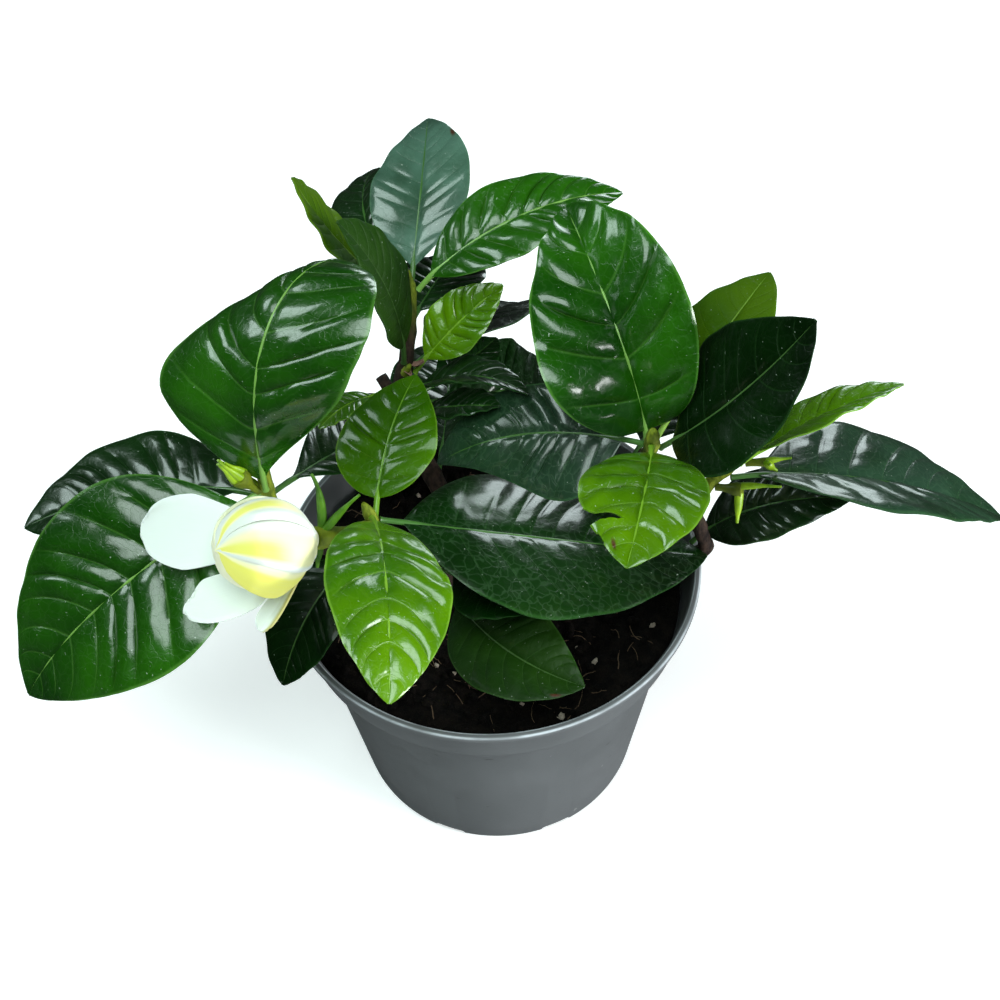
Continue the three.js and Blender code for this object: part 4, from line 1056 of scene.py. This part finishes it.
def makeCalyx(name, centre, startRadius, mouthRadius, sepals, green, dried=False):
    # centre: points along the body. Sepals are flattened pointed strips round its mouth
    count = len(centre) - 1
    radii = [startRadius + (mouthRadius - startRadius) * smooth(0.25, 0.85, k / count)
             for k in range(count + 1)]

    def ribbed(radius, angle, share):
        return radius * (1 + calyxLook["ribs"] * abs(math.cos(2.5 * angle)) * smooth(0.3, 0.9, share))
    body = rollTube(name + "Body", centre, radii, calyxLook["sides"], ribbed)
    writeShade(body, "driedTip", 0.0)
    body.data.materials.append(sheathGreen)
    axis = (centre[-1] - centre[-2]).normalized()
    mouth = centre[0].lerp(centre[-1], calyxLook["mouth"])
    side = up.cross(axis).normalized()
    top = axis.cross(side)
    pieces = [body]
    for number, (angle, length, outShare, alongShare) in enumerate(sepals):
        out = side * math.cos(math.radians(angle)) + top * math.sin(math.radians(angle))
        start = mouth + out * (mouthRadius - calyxLook["inset"])
        knee = start + out * (length * outShare * 0.7) + axis * (length * alongShare * 0.4)
        end = start + out * (length * outShare) + axis * (length * alongShare)
        strip = sepalStrip(name + "Sepal", start, knee, end)
        reach, dark = end - start, 0.0
        if dried and number == calyxLook["driedSepal"]:
            spots = [vertex.co / mm - start for vertex in strip.data.vertices]
            dark = [smooth(*calyxLook["driedSpan"], spot.dot(reach) / reach.length_squared) for spot in spots]
        writeShade(strip, "driedTip", dark)
        strip.data.materials.append(green)
        pieces.append(strip)
    finishPiece(joinPieces(name, pieces), None, [name])


throatFoot = bloom["centre"] - bloom["axis"] * (bloom["throatLength"] + 0.3)
stalkPlace = stemPlace("centre", bloom["stalkBack"])
stalkWay = (throatFoot - stalkPlace[0]).normalized()
stalkRoot = seat(stalkPlace, stalkWay, bloom["stalkRadius"], calyxLook["sunk"])
stalk = bow(stalkRoot, throatFoot - bloom["axis"] * bloom["calyxLength"], throatFoot, bloom["stalkSteps"])
makeCalyx("bloom_calyx", stalk, bloom["stalkRadius"], bloom["calyxRadius"], bloomSepals, sepalGreen)

for calyxName, calyx in sideCalyxes.items():
    way, steps = direction(calyx["azimuth"], calyx["pitch"]), calyxLook["steps"]
    start = seat(stemPlace(calyx["stem"], calyx["back"]), way, calyxLook["rootRadius"], calyxLook["sunk"])
    centre = [start + way * ((calyx["length"] + calyxLook["overlap"]) * k / steps) for k in range(steps + 1)]
    makeCalyx(calyxName, centre, calyxLook["startRadius"], calyx["radius"], calyx["sepals"], freshGreen,
              calyx.get("dried", False))
print("flower made")


# Pot
pot = dict(height=90.5, rimRadius=65, rimInner=62.9, lip=2.5, collar=16, collarTop=62.8, collarFoot=60.9,
           shoulder=2.5, bodyTop=57, base=46.1, wall=1.4, floor=1.6, foot=2.5, channels=8, channelWidth=10,
           channelStart=16, channelBevel=1.2, holeRadius=3.5, holeAway=36, holeDepth=12, holeSides=32,
           sides=160)


def potProfile():
    # radius and height of every ring, from the middle of the underside over the rim to the floor inside
    top, rim, inner, wall = pot["height"], pot["rimRadius"], pot["rimInner"], pot["wall"]
    base, body, low, high = pot["base"], pot["bodyTop"], pot["collarFoot"], pot["collarTop"]
    collar = top - pot["collar"]
    shoulder = collar - pot["shoulder"]
    lip = top - pot["lip"]
    floorTop = pot["foot"] + pot["floor"]
    outside = [(0, 0), (base - 2.2, 0), (base - 1.2, 0.15), (base - 0.35, 0.8), (base, 2),
               (body - 0.25, shoulder - 1), (body + 0.1, shoulder), (body + 0.7, shoulder + 0.5),
               (low - 0.6, collar - 0.5), (low - 0.1, collar + 0.1), (low + 0.1, collar + 1.1),
               (high - 0.1, lip - 0.9), (high + 0.2, lip - 0.2), (high + 0.9, lip + 0.15)]
    edge = [(rim - 0.35, lip + 0.4), (rim, lip + 0.8), (rim, top - 0.8), (rim - 0.2, top - 0.25),
            (rim - 0.7, top), (inner + 0.4, top), (inner, top - 0.25), (inner - 0.35, top - 0.9)]
    inside = [(high - wall, lip - 1.5), (low - wall + 0.1, collar + 1.2), (low - wall - 0.5, collar + 0.3),
              (body - wall + 0.2, shoulder + 0.8), (body - wall, shoulder - 0.4), (base - wall, floorTop + 1),
              (base - wall - 1, floorTop), (0, floorTop)]
    return outside + edge + inside


def channelAndHole(angle):
    length = pot["rimRadius"] - pot["channelStart"]
    away = (pot["channelStart"] + length / 2) * mm
    deselectAll()
    bpy.ops.mesh.primitive_cube_add(size=1, location=(away * math.cos(angle), away * math.sin(angle), 0),
                                    rotation=(0, 0, angle),
                                    scale=(length * mm, pot["channelWidth"] * mm, 2 * pot["foot"] * mm))
    channel = bpy.context.object
    bevel = channel.modifiers.new("round", "BEVEL")
    bevel.width = pot["channelBevel"] * mm
    bevel.segments = 3
    applyModifiers(channel)
    deselectAll()
    away = pot["holeAway"] * mm
    spot = (away * math.cos(angle), away * math.sin(angle), pot["foot"] * mm)
    bpy.ops.mesh.primitive_cylinder_add(vertices=pot["holeSides"], radius=pot["holeRadius"] * mm,
                                        depth=pot["holeDepth"] * mm, location=spot)
    return [channel, bpy.context.object]


def makePot():
    profile = potProfile()

    def place(across, along):
        radius, height = profile[round(along * (len(profile) - 1))]
        angle = math.pi * across
        return Vector((radius * math.cos(angle), radius * math.sin(angle), height))
    shell = bendSheet("nurseryPot", pot["sides"], len(profile) - 1, place)
    mergeSeam(shell)
    cutters = []
    for i in range(pot["channels"]):
        cutters += channelAndHole((i + 0.5) / pot["channels"] * 2 * math.pi)
    for cutter in cutters:
        pick(cutter)
        bpy.ops.object.transform_apply(location=True, rotation=True, scale=True)
    cutAway(shell, cutters)
    finishPiece(shell, [potGrey], ["pot"], 32)


makePot()
print("pot made")


# Soil: a crumbly bed with loose crumbs, perlite grains and fibres on it
soil = dict(top=80, clod=0.9, sides=128, rings=70, clearance=0.3, gap=0.5, edgeDrop=0.9, crumbs=620,
            grains=30, fibres=150, reach=57.5, sink=0.3, crumbSizes=(0.5, 1.7), grainSizes=(0.5, 1.3),
            grainInner=0.35)
fibre = dict(reach=54, stop=57, length=(3, 9), curve=(-0.12, 0.12), wander=(-0.25, 0.25), above=0.35,
             arch=0.9, radius=(0.07, 0.17), steps=6, sides=5)


def clods(x, y):
    low = math.sin(0.31 * x + 1.3) * math.cos(0.27 * y) + 0.6 * math.sin(0.55 * y + 0.23 * x)
    low += 0.35 * math.sin(0.9 * x - 0.7 * y)
    fine = noise.fractal(Vector((x, y, 3.7)) * 0.28, 0.7, 2.1, 5)
    return soil["clod"] * (0.8 * low + 0.9 * fine)


def soilHeight(x, y):
    return soil["top"] + clods(x, y)


def makeSoil():
    floorTop = pot["foot"] + pot["floor"] + soil["clearance"]
    collar = pot["height"] - pot["collar"]
    side = pot["wall"] + soil["gap"]
    base, body, edge = pot["base"] - side, pot["bodyTop"] - side, pot["collarFoot"] - side
    wallRows = [(0, floorTop), (base - 1, floorTop), (base, floorTop + 1.2),
                (body, collar - pot["shoulder"] + 0.6), (edge, collar + 0.9), (edge, soil["top"] - 2)]
    total = len(wallRows) - 1 + soil["rings"]

    def place(across, along):
        row = round(along * total)
        angle = math.pi * across
        if row < len(wallRows):
            radius, height = wallRows[row]
            return Vector((radius * math.cos(angle), radius * math.sin(angle), height))
        share = 1 - (row - len(wallRows) + 1) / soil["rings"]
        radius = edge * share
        x, y = radius * math.cos(angle), radius * math.sin(angle)
        return Vector((x, y, soilHeight(x, y) - soil["edgeDrop"] * smooth(0.94, 1, share)))
    bed = bendSheet("soilBed", soil["sides"], total, place)
    mergeSeam(bed)
    finishPiece(bed, [soilDark], ["soil"], 80)


def makeGrain(name, corners, luck):
    deselectAll()
    bpy.ops.mesh.primitive_ico_sphere_add(subdivisions=corners, radius=1)
    grain = bpy.context.object
    grain.name = name
    for vertex in grain.data.vertices:
        vertex.co *= 1 + luck.uniform(-0.24, 0.24)
    return grain


def scatter(name, template, count, sizes, luck, inner=0.0):
    pieces = []
    for i in range(count):
        angle = luck.uniform(0, 2 * math.pi)
        radius = soil["reach"] * math.sqrt(luck.uniform(inner, 1))
        x, y = radius * math.cos(angle), radius * math.sin(angle)
        size = luck.uniform(*sizes)
        piece = template.copy()
        piece.data = template.data.copy()
        turned = luck.uniform(0, 6.28)
        turn = Matrix.Rotation(turned, 4, Vector((luck.uniform(-1, 1), luck.uniform(-1, 1), 1)))
        stretch = Matrix.Diagonal((size * luck.uniform(0.7, 1.4), size, size * luck.uniform(0.6, 1), 1))
        place = Matrix.Translation((x, y, soilHeight(x, y) + size * soil["sink"]))
        piece.data.transform(Matrix.Scale(mm, 4) @ place @ turn @ stretch)
        bpy.context.scene.collection.objects.link(piece)
        pieces.append(piece)
    bpy.data.objects.remove(template)
    return joinPieces(name, pieces)


def makeFibres(luck):
    pieces, steps = [], fibre["steps"]
    for i in range(soil["fibres"]):
        angle, turn = luck.uniform(0, 2 * math.pi), luck.uniform(0, 2 * math.pi)
        radius = fibre["reach"] * math.sqrt(luck.uniform(0, 1))
        length, curve = luck.uniform(*fibre["length"]), luck.uniform(*fibre["curve"])
        x, y = radius * math.cos(angle), radius * math.sin(angle)
        points = []
        for k in range(steps + 1):
            if math.hypot(x, y) > fibre["stop"]:
                break
            arch = fibre["arch"] * math.sin(k / steps * math.pi) * luck.uniform(0.2, 1)
            points.append(Vector((x, y, soilHeight(x, y) + fibre["above"] + arch)))
            x, y = x + length / steps * math.cos(turn), y + length / steps * math.sin(turn)
            turn += curve * length / steps + luck.uniform(*fibre["wander"])
        if len(points) > 3:
            thick = luck.uniform(*fibre["radius"])
            pieces.append(rollTube("fibre", points, [thick] * len(points), fibre["sides"]))
    finishPiece(joinPieces("soilFibres", pieces), [fibreBrown], [])


soilLuck = random.Random(5)
makeSoil()
crumbs = scatter("soilCrumbs", makeGrain("crumb", 1, soilLuck), soil["crumbs"], soil["crumbSizes"], soilLuck)
finishPiece(crumbs, [soilDark], [])
grains = scatter("soilPerlite", makeGrain("grain", 2, soilLuck), soil["grains"], soil["grainSizes"], soilLuck,
                 soil["grainInner"])
finishPiece(grains, [perlite], [])
makeFibres(soilLuck)
print("soil made")


# Stage, light and camera. The floor and the lamps are in metres
stage = dict(floorSize=6, floor=(244, 245, 246), floorGlow=0.42, world=(196, 198, 200), worldStrength=0.04)
lamps = {
    "overheadSoftbox": dict(spot=(-0.05, -0.4, 1.15), aim=(0, 0, 0.1), size=0.75, power=12,
                            colour=(0.86, 1.0, 0.96)),
    "leftSoftbox": dict(spot=(-0.85, 0.38, 1.0), aim=(0, 0, 0.12), size=0.5, power=6.5,
                        colour=(0.82, 1.0, 0.96)),
    "backSoftbox": dict(spot=(0.35, 1.2, 0.35), aim=(0, 0, 0.12), size=0.4, power=3,
                        colour=(0.86, 1.0, 1.0)),
    "rightSoftbox": dict(spot=(1.0, -0.5, 0.35), aim=(0, 0, 0.06), size=0.5, power=15.5,
                         colour=(0.98, 1.0, 1.0)),
}
view = dict(distance=550, elevation=50.3, roll=-2.48, target=(3.7, 0, 119.7), lens=66.53, sensor=36)

deselectAll()
bpy.ops.mesh.primitive_plane_add(size=stage["floorSize"])
floor = bpy.context.object
floor.name = "floor"
floorLight = paint(*stage["floor"])
floorPaint = newMaterial("floorPaint", Base_Color=floorLight, Roughness=0.9, Specular_IOR_Level=0.1,
                         Emission_Color=floorLight, Emission_Strength=stage["floorGlow"])[0]
floor.data.materials.append(floorPaint)
floor.visible_glossy = False

world = bpy.data.worlds.new("studio")
world.use_nodes = True
background = world.node_tree.nodes["Background"]
background.inputs["Color"].default_value = paint(*stage["world"])
background.inputs["Strength"].default_value = stage["worldStrength"]
bpy.context.scene.world = world

for lampName, lamp in lamps.items():
    deselectAll()
    bpy.ops.object.light_add(type="AREA", location=lamp["spot"])
    light = bpy.context.object
    light.name = lampName
    light.data.shape = "SQUARE"
    light.data.size = lamp["size"]
    light.data.energy = lamp["power"]
    light.data.color = lamp["colour"]
    light.rotation_euler = (Vector(lamp["aim"]) - Vector(lamp["spot"])).to_track_quat("-Z", "Y").to_euler()

elevation, roll = math.radians(view["elevation"]), math.radians(view["roll"])
forward = Vector((0, math.cos(elevation), -math.sin(elevation)))
right = Vector((1, 0, 0))
above = right.cross(forward)
turned = right * math.cos(roll) + above * math.sin(roll)
above = above * math.cos(roll) - right * math.sin(roll)
deselectAll()
bpy.ops.object.camera_add(location=(Vector(view["target"]) - forward * view["distance"]) * mm)
camera = bpy.context.object
camera.name = "photoCamera"
camera.rotation_euler = Matrix((turned, above, -forward)).transposed().to_euler()
camera.data.lens = view["lens"]
camera.data.sensor_width = view["sensor"]
camera.data.clip_start = 0.01
bpy.context.scene.camera = camera
bpy.context.scene.view_settings.view_transform = "Standard"
print("stage set")
